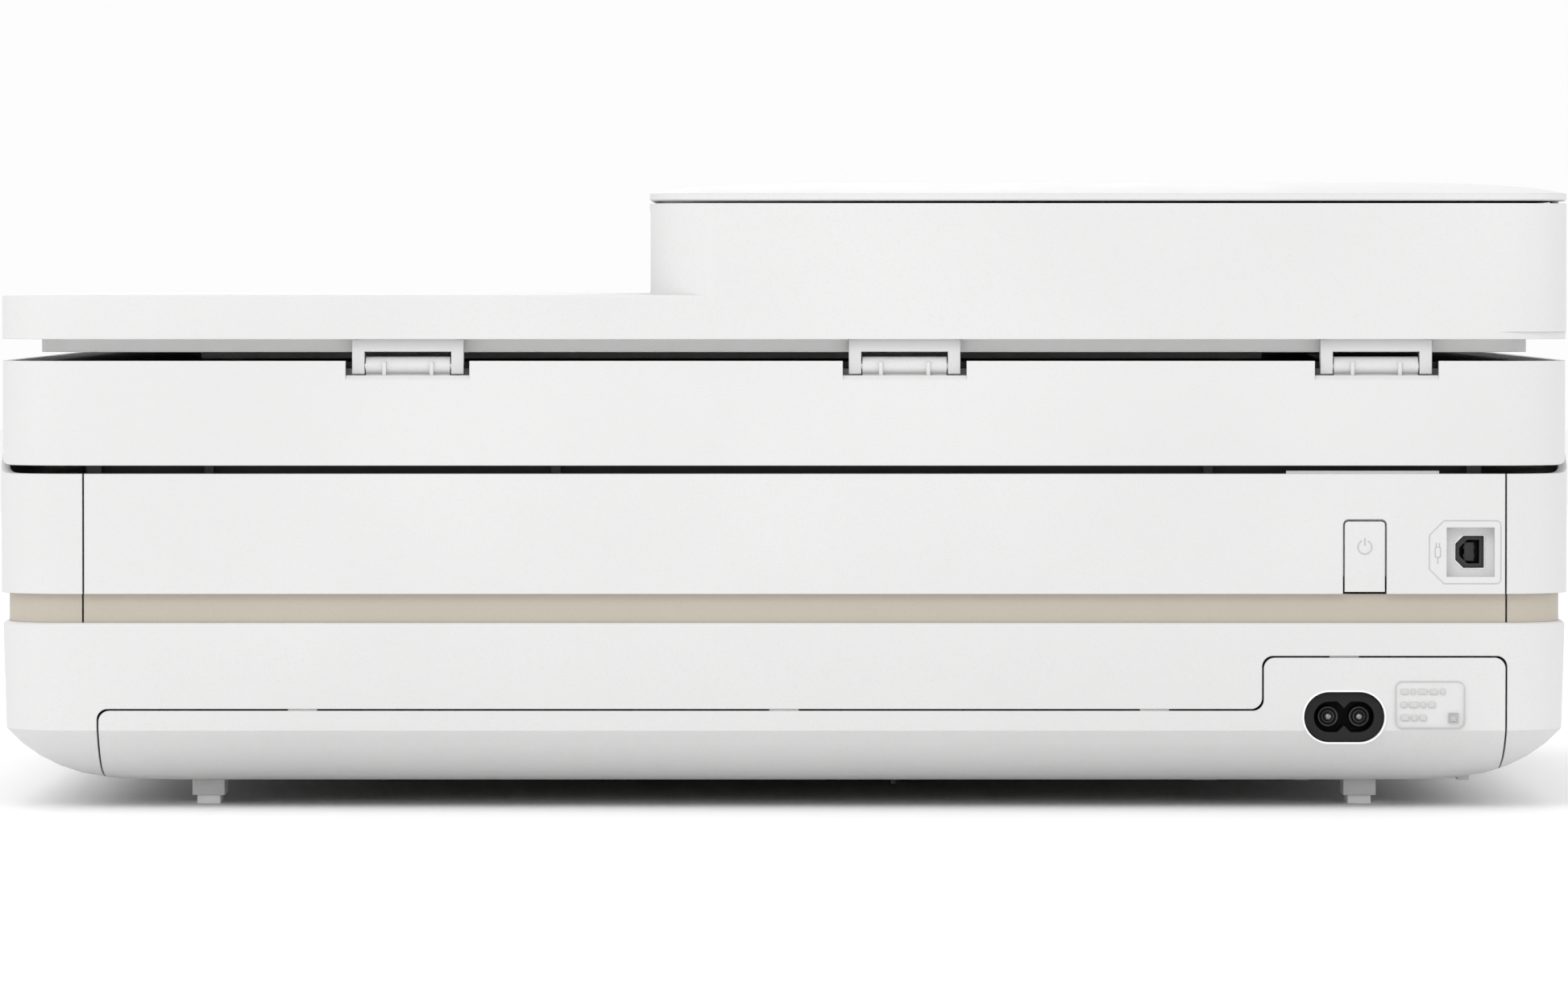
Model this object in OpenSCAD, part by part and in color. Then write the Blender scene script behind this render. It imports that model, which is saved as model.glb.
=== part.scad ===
// Flatbed inkjet printer with a document feeder: a bowl-shaped base with a paper drawer,
// a scanner unit that lifts off the print engine, a scanner lid and a feeder cover.
// X runs along the width, the front faces -Y, and the feet stand on z = 0.

/* [Overall] */
// Width of the body
body_w = 432.5; // [360:0.5:520]
// Depth of the body
body_d = 361; // [345:0.5:440]
// Plan radius of the upright corners
corner_r = 20; // [16:0.5:26]
// Thickness of the outer walls
wall = 2.5; // [2:0.1:3]
// Rounding of the moulded outer edges
edge_r = 0.8; // [0.4:0.1:1.2]

/* [Layer heights] */
// Height of the underside above the desk
foot_h = 7; // [5:0.1:9]
// Height of the curved belly under the knee line
belly_h = 15.1; // [12.5:0.1:18]
// How far the belly curves in under the body
belly_inset = 31; // [26:0.5:37]
// Height of the white wall above the knee line
bowl_wall_h = 29.7; // [28:0.1:36]
// Height of the coloured band
band_h = 7.9; // [6.5:0.1:9.5]
// Depth of the coloured band behind the walls above it
band_inset = 2.2; // [1.8:0.1:2.6]
// Height of the upper base wall at the rear
deck_h = 33; // [32:0.1:40]
// Extra height of the upper base wall along the sides and front
wing_rise = 19.3; // [16:0.1:23]
// Gap between the base and the scanner unit
split_gap = 2.25; // [1.8:0.05:2.8]
// Height of the scanner unit's rear wall
scanner_h = 28.7; // [28:0.1:34]
// Gap between the scanner unit and the lid's wall
lid_gap = 5.95; // [5:0.05:7]
// Height of the lid's wall
lid_h = 12.2; // [10.2:0.1:14.6]
// Height of the feeder box above the lid
adf_h = 25.1; // [21:0.1:30]
// Gap under the feeder cover
cover_gap = 0.7; // [0.6:0.05:0.9]
// Height of the feeder cover's edge
cover_edge_h = 2; // [1.8:0.1:2.4]
// Rise of the feeder cover's crown above its edge
cover_crown = 3.4; // [2.8:0.1:4]

/* [Paper] */
// Widest sheet
paper_w = 216; // [180:1:222]
// Narrowest sheet in the paper drawer
photo_w = 102; // [86:1:122]
// Length of the paper drawer
tray_l = 290; // [260:1:300]

/* [Print engine] */
// Width of the ink carriage
carriage_w = 74; // [66:1:90]
// Radius of the carriage rod
rod_r = 4; // [3.4:0.1:4.6]
// Radius of the main feed roller
feed_r = 5; // [4.5:0.1:5.4]
// Radius of the exit roller's tyres
exit_r = 5.4; // [4.6:0.1:5.4]
// Tooth module of the gears
gear_m = 0.8; // [0.7:0.01:0.8]
// Teeth on the feed gear and on the exit gear
gear_z = 30; // [26:2:32]
// Teeth on the idler gear
idler_z = 25; // [21:2:27]
// Teeth on the motor pinion
pinion_z = 15; // [13:1:17]
// Radius of the belt pulleys
pulley_r = 6; // [5:0.1:7]

/* [Rear panel] */
// Width of the power button
button_w = 11; // [9:0.1:13]
// Height of the power button
button_h = 19.3; // [16:0.1:23]
// Width of the recess around the data socket
usb_recess_w = 13.1; // [12:0.1:15]
// Width of the mains inlet's face
inlet_w = 21.6; // [21:0.1:24]
// Height of the mains inlet's face
inlet_h = 13.3; // [12.8:0.1:15]
// Distance between the mains inlet's two pins
pin_pitch = 8.6; // [8:0.1:9.2]

/* [Hinges] */
// Radius of the hinge pins
pin_r = 1.5; // [1.3:0.05:1.6]
// Width of each notch that a lid hinge sits in
notch_w = 34; // [34:0.5:40]

/* [Feeder] */
// Length of the feeder box along the width of the printer
adf_w = 252.9; // [230:0.1:300]
// Depth of the feeder box
adf_d = 262; // [255:1:310]
// Radius of the feeder's feed roller
adf_roller_r = 9; // [7.5:0.1:10.5]

/* [Hidden] */
$fn = 48;
eps = 0.01;
// Clearances: a seam between two mouldings, a running fit and a loose fit
seam = 0.5;
run_gap = 0.06;
loose = 0.3;

// Levels
z_under = foot_h;
z_knee = z_under + belly_h;
z_bowl = z_knee + bowl_wall_h;
z_band = z_bowl + band_h;
z_deck = z_band + deck_h;
z_wing = z_deck + wing_rise;
z_split = z_deck + split_gap;
z_scan = z_split + scanner_h;
z_lid = z_scan + lid_gap;
z_lid_top = z_lid + lid_h;
z_adf = z_lid_top + adf_h;
z_cover = z_adf + cover_gap;
z_floor = z_under + wall;

// Outer faces
half_w = body_w / 2;
half_d = body_d / 2;
bowl_step = 0.5;
bowl_taper = 0.8;
scan_step = 0.5;
lid_step = 0.35;

// Rear seams, from the middle of the body
seam_left_x = half_w - 24.05;
seam_right_x = -half_w + 18.25;
panel_low_h = 20.6;
panel_high_h = 35.2;
panel_step_x = seam_right_x + 66.3;

// Rear fittings
button_x = seam_right_x + 38.7;
usb_x = seam_right_x + 9.7;
usb_z = z_band + 11.5;
inlet_x = seam_right_x + 44.2;
inlet_z = z_knee + 3.75;

// Slot, drawer and print path
tray_w = paper_w + 26;
front_w = tray_w + 8;
tray_front_z0 = z_under + 4;
tray_front_z1 = z_floor + 25.5;
tray_floor_z = z_floor + 6.5;
out_z = tray_front_z1 + 1;
path_z = z_floor + 37.5;
feed_y = 62;
pinch_r = 3;
exit_y = feed_y - gear_m * (gear_z + idler_z);
shaft_z = path_z - feed_r;
gear_x = -paper_w / 2 - 62;
uturn_y = 128;
uturn_r = 17;
uturn_z = path_z - uturn_r + 2;

// Carriage
home_x = half_w - 22.5 - carriage_w / 2;
carriage_z = path_z - 0.5;
rod_y = 82;
rod_z = path_z + 15;
rail_y = 94;
belt_y = rail_y - 6;
belt_z = rod_z + 22;
belt_span = half_w - 38.25;

// Scanner unit
tub_inset = 6;
tub_rear_y = half_d - 12.5;
tub_z = z_scan - 20;
glass_t = 2.4;
bezel_t = 2;
scan_hinge_y = half_d - 6;
scan_hinge_z = z_split + 3.5;
scan_hinge_x = half_w - 29;

// Lid hinges
lid_hinge_y = half_d - 6.5;
lid_hinge_z = z_scan - 1.65;
hinge_xs = [half_w - 113, -half_w + 183.15, -half_w + 53.7];
liner_inset = 11;
liner_rear = 9.6;
liner_drop = 3.6;

// Feeder
adf_x0 = -half_w + lid_step;
adf_x1 = adf_x0 + adf_w;
adf_y1 = half_d - lid_step;
adf_y0 = adf_y1 - adf_d;
adf_mid_y = (adf_y0 + adf_y1) / 2;
adf_deck_z = z_lid_top + 11.4;
adf_feed_x = adf_x0 + 41;
adf_feed_z = z_lid_top + 7.6;
adf_pick_x = adf_x0 + 92;
adf_pick_r = 6;
cover_hinge_x = adf_x0 + 1.4;
cover_hinge_z = z_cover + 1.3;

// ---------- shared shapes ----------

// Rounded rectangle with true arcs
module rrect(w, d, r) {
    square([w - 2 * r, d], center = true);
    square([w, d - 2 * r], center = true);
    for (sx = [-1, 1], sy = [-1, 1])
        translate([sx * (w / 2 - r), sy * (d / 2 - r)]) circle(r);
}

// Box between two corners
module box(lo, hi) {
    translate(lo) cube(hi - lo);
}

// Cylinder along X between two places
module rod_x(x0, x1, y, z, r) {
    translate([x0, y, z]) rotate([0, 90, 0]) cylinder(r = r, h = x1 - x0);
}

// Cylinder along Y between two places
module rod_y_axis(y0, y1, x, z, r) {
    translate([x, y0, z]) rotate([-90, 0, 0]) cylinder(r = r, h = y1 - y0);
}

// Convex body through slices [height, inset, thickness] of a rounded rectangle
module slice_hull(slices, w, d, r) {
    top = max([for (s = slices) s[0]]);
    hull()
        for (s = slices)
            translate([0, 0, min(s[0], top - eps)])
                linear_extrude(len(s) > 2 ? s[2] : eps) rrect(w - 2 * s[1], d - 2 * s[1], r);
}

// Slices of a slab whose top edge is rounded
function slab_slices(z0, z1, r, inset) = concat(
    [[z0, inset, z1 - r - z0]],
    [for (a = [30, 60, 90]) [z1 - r * (1 - sin(a)), inset + r * (1 - cos(a))]]
);

// Upright ring that follows the body's plan outline
module ring(z0, z1, inset, t) {
    translate([0, 0, z0]) linear_extrude(z1 - z0) difference() {
        rrect(body_w - 2 * inset, body_d - 2 * inset, corner_r - inset);
        rrect(body_w - 2 * (inset + t), body_d - 2 * (inset + t), max(corner_r - inset - t, 2));
    }
}

// Solid plate that follows the body's plan outline
module plate(z0, z1, inset) {
    translate([0, 0, z0]) linear_extrude(z1 - z0)
        rrect(body_w - 2 * inset, body_d - 2 * inset, max(corner_r - inset, 2));
}

// Involute gear outline with one tooth on the +X axis
function inv_deg(rb, r) = r <= rb ? 0 : sqrt(r * r / (rb * rb) - 1) * 180 / PI - acos(rb / r);
function gear_points(z, m, play) =
    let (rp = m * z / 2, rb = rp * cos(20), ra = rp + 0.9 * m, rd = rp - 1.2 * m,
         half = 90 / z - play / rp * 90 / PI + inv_deg(rb, rp), steps = 3)
    [for (i = [0:z - 1], side = [-1, 1], k = [0:steps])
        let (kk = side < 0 ? k : steps - k,
             r = k == 0 && side < 0 || k == steps && side > 0 ? rd
                 : max(rb, rd) + (ra - max(rb, rd)) * (kk - 1) / (steps - 1),
             a = 360 / z * i + side * (half - inv_deg(rb, r)))
        [r * cos(a), r * sin(a)]];
module gear(z, m, h, bore, play = 0.08) {
    linear_extrude(h) difference() {
        polygon(gear_points(z, m, play));
        circle(bore);
    }
}

// Toothed rack along X with its teeth towards +Y; the pitch line is y = 0
module rack(x0, x1, m, h, back, phase, play = 0.12) {
    pitch = PI * m;
    n0 = ceil((x0 - phase) / pitch + 0.5);
    n1 = floor((x1 - phase) / pitch - 0.5);
    w = pitch / 2 - play;
    linear_extrude(h) union() {
        translate([x0, -1.2 * m - back]) square([x1 - x0, back]);
        for (n = [n0:n1])
            translate([phase + n * pitch, -1.2 * m])
                polygon([[-w / 2 - 0.44 * m, -0.1], [w / 2 + 0.44 * m, -0.1],
                         [w / 2 - 0.32 * m, 2.1 * m], [-w / 2 + 0.32 * m, 2.1 * m]]);
    }
}

// Rack of one of two facing guides that slide along X and share a pinion at the origin
module guide_rack(side, reach, m, z, h, back) {
    translate([0, -side * m * z / 2, 0]) mirror([0, side > 0 ? 0 : 1, 0])
        rack(side > 0 ? -m * z - 2 : -reach, side > 0 ? reach : m * z + 2, m, h, back, PI * m / 2);
}
// Distance of a guide's leg from the pinion's axis
function leg_offset(m, z, back) = m * z / 2 + 1.2 * m + back / 2;

// ---------- base shell ----------

// Slices of the bowl-shaped base, grown inwards by t
belly_angle = 2 * atan(belly_h / belly_inset);
belly_r = belly_inset / sin(belly_angle);
function bowl_slices(t, top) = concat(
    t > 0 ? [[top, bowl_step + t]]
          : [[z_bowl, bowl_step + edge_r], [z_bowl - edge_r / 2, bowl_step + edge_r / 4],
             [z_bowl - edge_r, bowl_step]],
    [for (i = [0:6])
        let (a = belly_angle * (1 - i / 6), r = belly_r - t)
        [z_under + belly_r - r * cos(a), bowl_step + bowl_taper + belly_inset - r * sin(a)]]
);
module bowl_skin(t) {
    difference() {
        slice_hull(bowl_slices(0, z_bowl), body_w, body_d, corner_r - bowl_step);
        slice_hull(bowl_slices(t, z_bowl + 1), body_w, body_d, corner_r - bowl_step - t);
    }
}

// Stepped outline of the removable rear panel, seen from behind and grown by g
module rear_outline(g) {
    r = 3;
    x0 = seam_right_x - g;
    x1 = seam_left_x - 4 + g;
    z1 = z_under + panel_low_h + g;
    z2 = z_under + panel_high_h + g;
    step = panel_step_x + g;
    difference() {
        union() {
            translate([x0, 0]) square([x1 - x0 - r, z1]);
            translate([x0, 0]) square([x1 - x0, z1 - r]);
            translate([x1 - r, z1 - r]) circle(r);
            translate([x0 + r, 0]) square([step - x0 - 2 * r, z2]);
            translate([x0, 0]) square([step - x0, z2 - r]);
            translate([x0 + r, z2 - r]) circle(r);
            translate([step - r, z2 - r]) circle(r);
            translate([step, z1]) square(r);
        }
        translate([step + r, z1 + r]) circle(r);
    }
}

// Prism of an outline drawn in X and Z, between two depths
module xz_prism(y0, y1) {
    translate([0, y1, 0]) rotate([90, 0, 0]) linear_extrude(y1 - y0) children();
}

module stadium(w, h) {
    square([w - h, h], center = true);
    for (s = [-1, 1]) translate([s * (w - h) / 2, 0]) circle(h / 2);
}

// Opening in the front for the drawer and the printed sheets
module front_opening(g) {
    box([-front_w / 2 - g, -half_d - 1, tray_front_z0 - g],
        [front_w / 2 + g, -half_d + belly_inset + 14, z_band + 1]);
}

foot_x = half_w - 56;
foot_y = half_d - 45;
module foot_places() {
    for (sx = [-1, 1], sy = [-1, 1]) translate([sx * foot_x, sy * foot_y, 0]) children();
}

module base_bowl() {
    pad_h = 2.4;
    color("white") union() {
        difference() {
            bowl_skin(wall);
            xz_prism(half_d - belly_inset - 6, half_d + 1) rear_outline(seam);
            front_opening(seam);
        }
        foot_places() box([-4.5, -8, pad_h], [4.5, 8, z_under + 0.5]);
    }
}

module foot_pads() {
    color("dimgray") foot_places() box([-3.2, -6.5, 0], [3.2, 6.5, 2.4]);
}

// Catches along the upper edge of the rear panel, which bridge the seam above it
module rear_catches() {
    for (x = [panel_step_x + 30, 0, seam_left_x - 60])
        translate([x - 4, z_under + panel_low_h - 2]) square([8, 2 + seam]);
    translate([inlet_x - 4, z_under + panel_high_h - 2]) square([8, 2 + seam]);
}

module rear_panel() {
    color("white") difference() {
        intersection() {
            bowl_skin(wall);
            union() {
                xz_prism(half_d - belly_inset - 6 + seam, half_d + 1) rear_outline(0);
                xz_prism(half_d - belly_inset - 6 + seam, half_d - bowl_step - wall / 2) rear_catches();
            }
        }
        translate([inlet_x, 0, inlet_z])
            xz_prism(half_d - belly_inset, half_d + 1) stadium(inlet_w + 0.5, inlet_h + 0.5);
    }
}

module band_ring() {
    ring(z_bowl, z_band, band_inset, 3);
    ring(z_bowl - 4, z_bowl, bowl_step + wall + 0.15, 3 - wall + band_inset - bowl_step - 0.15);
    ring(z_band, z_band + 4, wall + 0.15, 3 - wall + band_inset - 0.15);
}

module rear_window(g, z0, z1) {
    box([seam_right_x - g, half_d - 12, z0], [seam_left_x + g, half_d + 1, z1]);
}

module trim_band() {
    color("tan") difference() {
        band_ring();
        rear_window(seam, z_bowl - 5, z_band + 5);
        box([-front_w / 2 - seam, -half_d - 1, z_bowl - 5], [front_w / 2 + seam, -half_d + 12, z_band + 5]);
        rear_pocket();
    }
}

// Room behind the band for the upper rear corner of the lower rear panel
module rear_pocket() {
    box([seam_right_x - 1, half_d - 12, z_bowl - 5], [panel_step_x + 1, half_d - 5.3, z_bowl]);
}

module rear_trim() {
    color("tan") intersection() {
        ring(z_bowl, z_band, band_inset, 3);
        rear_window(0, z_bowl, z_band);
    }
}

// Side profile of the split between base and scanner: level at the rear, then a rise of two arcs
split_turn = 50;
split_r = wing_rise / 2 / (1 - cos(split_turn));
split_y = half_d - 9;
split_steps = 8;
function split_curve(lift) = concat(
    [for (i = [0:split_steps]) let (a = split_turn * i / split_steps)
        [split_y - split_r * sin(a), z_deck + lift + split_r * (1 - cos(a))]],
    [for (i = [1:split_steps]) let (a = split_turn * (1 - i / split_steps))
        [split_y - 2 * split_r * sin(split_turn) + split_r * sin(a),
         z_wing + lift - split_r * (1 - cos(a))]]
);
module above_split(lift, z_top) {
    rotate([90, 0, 90]) translate([0, 0, -half_w - 1]) linear_extrude(body_w + 2)
        polygon(concat([[-half_d - 1, z_top], [half_d + 1, z_top], [half_d + 1, z_deck + lift]],
                       split_curve(lift), [[-half_d - 1, z_wing + lift]]));
}

panel_w = 92;
panel_h = 15;
panel_x = -front_w / 2 - 26;
panel_z = z_wing - 16;
lift_notch_w = 84;
lift_notch_h = 6;

module deck_shell() {
    color("white") difference() {
        ring(z_band, z_wing, 0, wall);
        above_split(0, z_wing + 1);
        rear_window(seam / 2, z_band - 1, z_wing + 1);
        box([panel_x, -half_d - 1, panel_z - panel_h / 2],
            [panel_x + panel_w, -half_d + wall + 1, panel_z + panel_h / 2]);
        box([-lift_notch_w / 2, -half_d - 1, z_wing - lift_notch_h],
            [lift_notch_w / 2, -half_d + wall + 1, z_wing + 1]);
    }
}

module rear_cover() {
    pocket = 4;
    tab_x0 = button_x - 20.5;
    color("white") difference() {
        union() {
            box([seam_right_x + seam / 2, half_d - wall, z_band],
                [seam_left_x - seam / 2, half_d, z_deck]);
            box([usb_x - usb_recess_w / 2 - 1.5, half_d - pocket - 1.2, usb_z - usb_recess_w / 2 - 1.7],
                [usb_x + usb_recess_w / 2 + 1.5, half_d - 1, usb_z + usb_recess_w / 2 + 1.7]);
            box([tab_x0, half_d - wall - 1.5, z_deck - 5], [tab_x0 + 42, half_d - wall, z_deck + 0.8]);
        }
        xz_prism(half_d - wall - 1, half_d + 1) button_outline(0.5, z_band - 1, z_band + button_h + 1.2);
        box([usb_x - usb_recess_w / 2, half_d - pocket, usb_z - usb_recess_w / 2 - 0.2],
            [usb_x + usb_recess_w / 2, half_d + 1, usb_z + usb_recess_w / 2 + 0.2]);
        translate([usb_x, 0, usb_z]) xz_prism(half_d - pocket - 2, half_d) usb_outline(0.4);
    }
}

// Face of the power button from z0 to z1, grown by g, with rounded upper corners
module button_outline(g, z0, z1) {
    r = 1 + g;
    w = button_w / 2 + g;
    union() {
        translate([button_x - w, z0]) square([2 * w, z1 - r - z0]);
        translate([button_x - w + r, z0]) square([2 * w - 2 * r, z1 - z0]);
        for (s = [-1, 1]) translate([button_x + s * (w - r), z1 - r]) circle(r);
    }
}
module power_button() {
    cap_t = 2;
    color("white") union() {
        xz_prism(half_d - cap_t - 0.2, half_d - 0.2) button_outline(0, z_band + 0.6, z_band + 0.6 + button_h);
        box([button_x - button_w / 2 - 1.5, half_d - wall - 1.8, z_band + 4.8],
            [button_x + button_w / 2 + 1.5, half_d - wall, z_band + 0.6 + button_h + 2]);
        rod_y_axis(half_d - wall - 7, half_d - wall - 1, button_x, z_band + button_h / 2 + 3, 2);
        box([button_x - 3, half_d - wall - 1, z_band + 5], [button_x + 3, half_d - 1, z_band + 15]);
    }
}

// Inner frame: the dark deck around the carriage bay, its rear upstand and the hinge lugs
bay_x = half_w - 19;
bay_y0 = -half_d + 26;
bay_y1 = half_d - 36;
frame_z = z_deck - 6;
module inner_frame() {
    rib_xs = [half_w - 58.3, half_w - 153.6, -half_w + 99.7];
    lug_x0 = scan_hinge_x + 0.2;
    color("#2a2c2e") difference() {
        union() {
            difference() {
                plate(frame_z - 2, frame_z, wall + 0.1);
                box([-bay_x, bay_y0, frame_z - 3], [bay_x, bay_y1, frame_z + 1]);
            }
            box([-half_w + 24, half_d - 12.5, frame_z - 1], [half_w - 24, half_d - 10.5, z_split + 6]);
            box([board_x - 4.6, half_d - 50, frame_z - 16], [board_x - 1.6, half_d - 30, frame_z]);
            for (x = rib_xs)
                box([x - 1.3, half_d - 11, frame_z - 1], [x + 1.3, half_d - 5.2, z_split + 3]);
            for (s = [-1, 1]) {
                xc = s * (lug_x0 + 2);
                box([xc - 2, half_d - 12, frame_z - 1], [xc + 2, scan_hinge_y + 1.2, scan_hinge_z]);
                rod_x(xc - 2, xc + 2, scan_hinge_y, scan_hinge_z, 2.7);
            }
        }
        for (s = [-1, 1])
            rod_x(s * (lug_x0 + 2) - 3, s * (lug_x0 + 2) + 3, scan_hinge_y, scan_hinge_z, pin_r + run_gap);
        box([button_x - 22, half_d - 9.5, frame_z - 3], [button_x + 24, half_d, frame_z + 1]);
    }
}

module control_panel() {
    color("#30343a") union() {
        box([panel_x + 0.2, -half_d + 0.2, panel_z - panel_h / 2 + 0.2],
            [panel_x + panel_w - 0.2, -half_d + wall, panel_z + panel_h / 2 - 0.2]);
        box([panel_x - 2, -half_d + wall, panel_z - panel_h / 2 - 1.5],
            [panel_x + panel_w + 2, -half_d + wall + 1.6, panel_z + panel_h / 2 + 1.5]);
    }
}

// ---------- print engine ----------

side_x = tray_w / 2 + 5;
left_wall_x = gear_x + 6.5;
right_wall_x = paper_w / 2 + 4;
pinch_z = path_z + 0.15 + pinch_r;
deck_z = out_z - 2;
module main_chassis() {
    pick_w = 52;
    post_x = half_w - 37;
    color("#303336") difference() {
        union() {
            for (s = [-1, 1])
                box([s * (side_x + 1.5) - 1.5, -10, z_floor], [s * (side_x + 1.5) + 1.5, half_d - 33.5, deck_z]);
            box([left_wall_x - 3, exit_y - 14, deck_z], [side_x + 3, 72, deck_z + 2]);
            for (s = [-1, 1])
                box([s * (side_x - 43.5) - 46.5, 71, deck_z], [s * (side_x - 43.5) + 46.5, uturn_y - 24, deck_z + 2]);
            for (s = [-1, 1])
                box([s * 32 - 4, arm_y - 5, deck_z - 7], [s * 32 + 4, arm_y + 5, deck_z + 2]);
            box([left_wall_x - 3, exit_y - 8, deck_z], [left_wall_x, rail_y, rod_z - 12]);
            box([right_wall_x, exit_y - 8, deck_z], [right_wall_x + 3, 70, shaft_z + 3.7]);
            box([right_wall_x, feed_y - 3, deck_z], [right_wall_x + 3, feed_y + 3, pinch_z + 2.2]);
            box([left_wall_x - 3, feed_y - 3, deck_z], [left_wall_x, feed_y + 3, pinch_z + 2.2]);
            box([post_x - 3.5, 76, z_floor], [post_x + 3.5, 98, rod_z - 12]);
            box([side_x + 2, 88, z_floor], [post_x, 98, z_floor + 3]);
            box([-post_x, 98, z_floor], [-side_x - 2, 104, z_floor + 3]);
            box([-post_x, 98, z_floor], [-post_x + 4, 104, shaft_z - 15]);
        }
        for (y = [feed_y, exit_y])
            rod_x(left_wall_x - 4, right_wall_x + 4, y, shaft_z, 3 + run_gap);
        rod_x(left_wall_x - 4, left_wall_x + 1, (feed_y + exit_y) / 2, shaft_z, 2 + run_gap);
        rod_x(left_wall_x - 4, left_wall_x + 1, pinion_y, shaft_z, 4);
        rod_x(left_wall_x - 4, right_wall_x + 4, feed_y, pinch_z, 1.2 + run_gap);
        rod_x(-40, 40, arm_y, arm_z, 2.5 + run_gap);
        box([-pick_w / 2, arm_y - 5.5, deck_z - 1], [pick_w / 2, uturn_y, deck_z + 3]);
    }
}

module paper_path_guide() {
    w = paper_w + 8;
    color("#26282a") union() {
        rod_x(-w / 2, w / 2, uturn_y, uturn_z, uturn_r - 4.5);
        difference() {
            rod_x(-w / 2, w / 2, uturn_y, uturn_z, uturn_r + 2);
            rod_x(-w / 2 - 1, w / 2 + 1, uturn_y, uturn_z, uturn_r);
            box([-w / 2 - 2, uturn_y - 40, uturn_z - 40], [w / 2 + 2, uturn_y + 1, uturn_z + 40]);
        }
        box([-w / 2, uturn_y - 8, uturn_z + uturn_r], [w / 2, uturn_y + 1.2, uturn_z + uturn_r + 2]);
        for (s = [-1, 1])
            box([s * (w / 2 + 1) - 1, uturn_y - 8, uturn_z - uturn_r - 2],
                [s * (w / 2 + 1) + 1, uturn_y + uturn_r + 2, uturn_z + uturn_r + 2]);
        rod_x(-side_x, side_x, uturn_y, uturn_z - 4, 4);
    }
}

rail_end = half_w - 20.25;
module carriage_rail() {
    z0 = rod_z - 12;
    color("#b8bcc0") difference() {
        union() {
            box([-rail_end, rail_y, z0], [rail_end, rail_y + 1.2, belt_z + 13]);
            for (s = [-1, 1])
                box([s * (rail_end - 0.6) - 0.6, rod_y - 10, rod_z - 6.5],
                    [s * (rail_end - 0.6) + 0.6, rail_y + 1.2, rod_z + 12]);
            box([left_wall_x - 9, pinion_y - 3, z0], [left_wall_x, rail_y, z0 + 1.2]);
            box([half_w - 42, rail_y - 18, z0], [rail_end, rail_y, z0 + 1.2]);
            box([-rail_end, rail_y, belt_z + 11.8], [rail_end, rail_y + 9, belt_z + 13]);
        }
        rod_x(-rail_end - 1, rail_end + 1, rod_y, rod_z, rod_r);
        for (s = [-1, 1]) rod_y_axis(rail_y - 1, rail_y + 2, s * belt_span, belt_z, 2 + run_gap);
        for (x = [-140:70:140])
            box([x - 20, rail_y - 1, belt_z + 6], [x + 20, rail_y + 2, belt_z + 9]);
    }
}

module carriage_rod() {
    color("silver") rod_x(-rail_end - 1, rail_end + 1, rod_y, rod_z, rod_r);
}

module carriage_belt() {
    t = 1.2;
    color("#1c1c1e") translate([0, belt_y + 4.6, belt_z]) rotate([90, 0, 0]) linear_extrude(3.4) difference() {
        stadium(2 * (belt_span + pulley_r + t), 2 * (pulley_r + t));
        stadium(2 * (belt_span + pulley_r), 2 * pulley_r);
    }
}

module belt_pulley(x) {
    color("#d8d8d4") union() {
        rod_y_axis(belt_y + 1.2, belt_y + 4.6, x, belt_z, pulley_r - 0.1);
        rod_y_axis(belt_y + 0.4, belt_y + 1.1, x, belt_z, pulley_r + 1.8);
        rod_y_axis(belt_y + 0.4, rail_y + 1.1, x, belt_z, 2);
    }
}
module drive_pulley() {
    belt_pulley(-belt_span);
}
module idler_pulley() {
    belt_pulley(belt_span);
}

motor_r = 13;
pinion_y = feed_y + gear_m * (gear_z + pinion_z) / 2;
module drive_motors() {
    color("#9a9da0") union() {
        rod_y_axis(rail_y + 1.2, rail_y + 26, -belt_span, belt_z, 11);
        rod_y_axis(rail_y + 26, rail_y + 28, -belt_span, belt_z, 4);
        difference() {
            union() {
                rod_x(gear_x - 28, gear_x - 5, pinion_y, shaft_z, motor_r);
                box([gear_x - 6.2, pinion_y - 11, shaft_z - 14], [gear_x - 5, pinion_y + 16, shaft_z + 7.5]);
                box([gear_x - 6, pinion_y + 10, shaft_z - 13],
                    [left_wall_x - 3, pinion_y + 13.5, shaft_z - 10]);
            }
            rod_x(gear_x - 9, gear_x, pinion_y, shaft_z, 1.5 + run_gap);
        }
    }
}

module platen() {
    y0 = exit_y + exit_r + 1;
    y1 = feed_y - feed_r - 1;
    rib_step = paper_w / 8 - 1;
    color("#2c2e30") union() {
        box([-paper_w / 2 - 3, y0, path_z - 9], [paper_w / 2 + 3, y1, path_z - 6]);
        for (k = [-4:4]) box([k * rib_step - 1, y0 + 0.5, path_z - 6], [k * rib_step + 1, y1 - 0.5, path_z - 2.2]);
        box([-paper_w / 2 - 3, y1 - 2, path_z - 6], [paper_w / 2 + 3, y1, path_z - 2.2]);
        for (s = [-1, 1])
            box([s * paper_w / 3 - 3, y0 + 2, deck_z + 2], [s * paper_w / 3 + 3, y1 - 4, path_z - 9]);
    }
}

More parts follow.
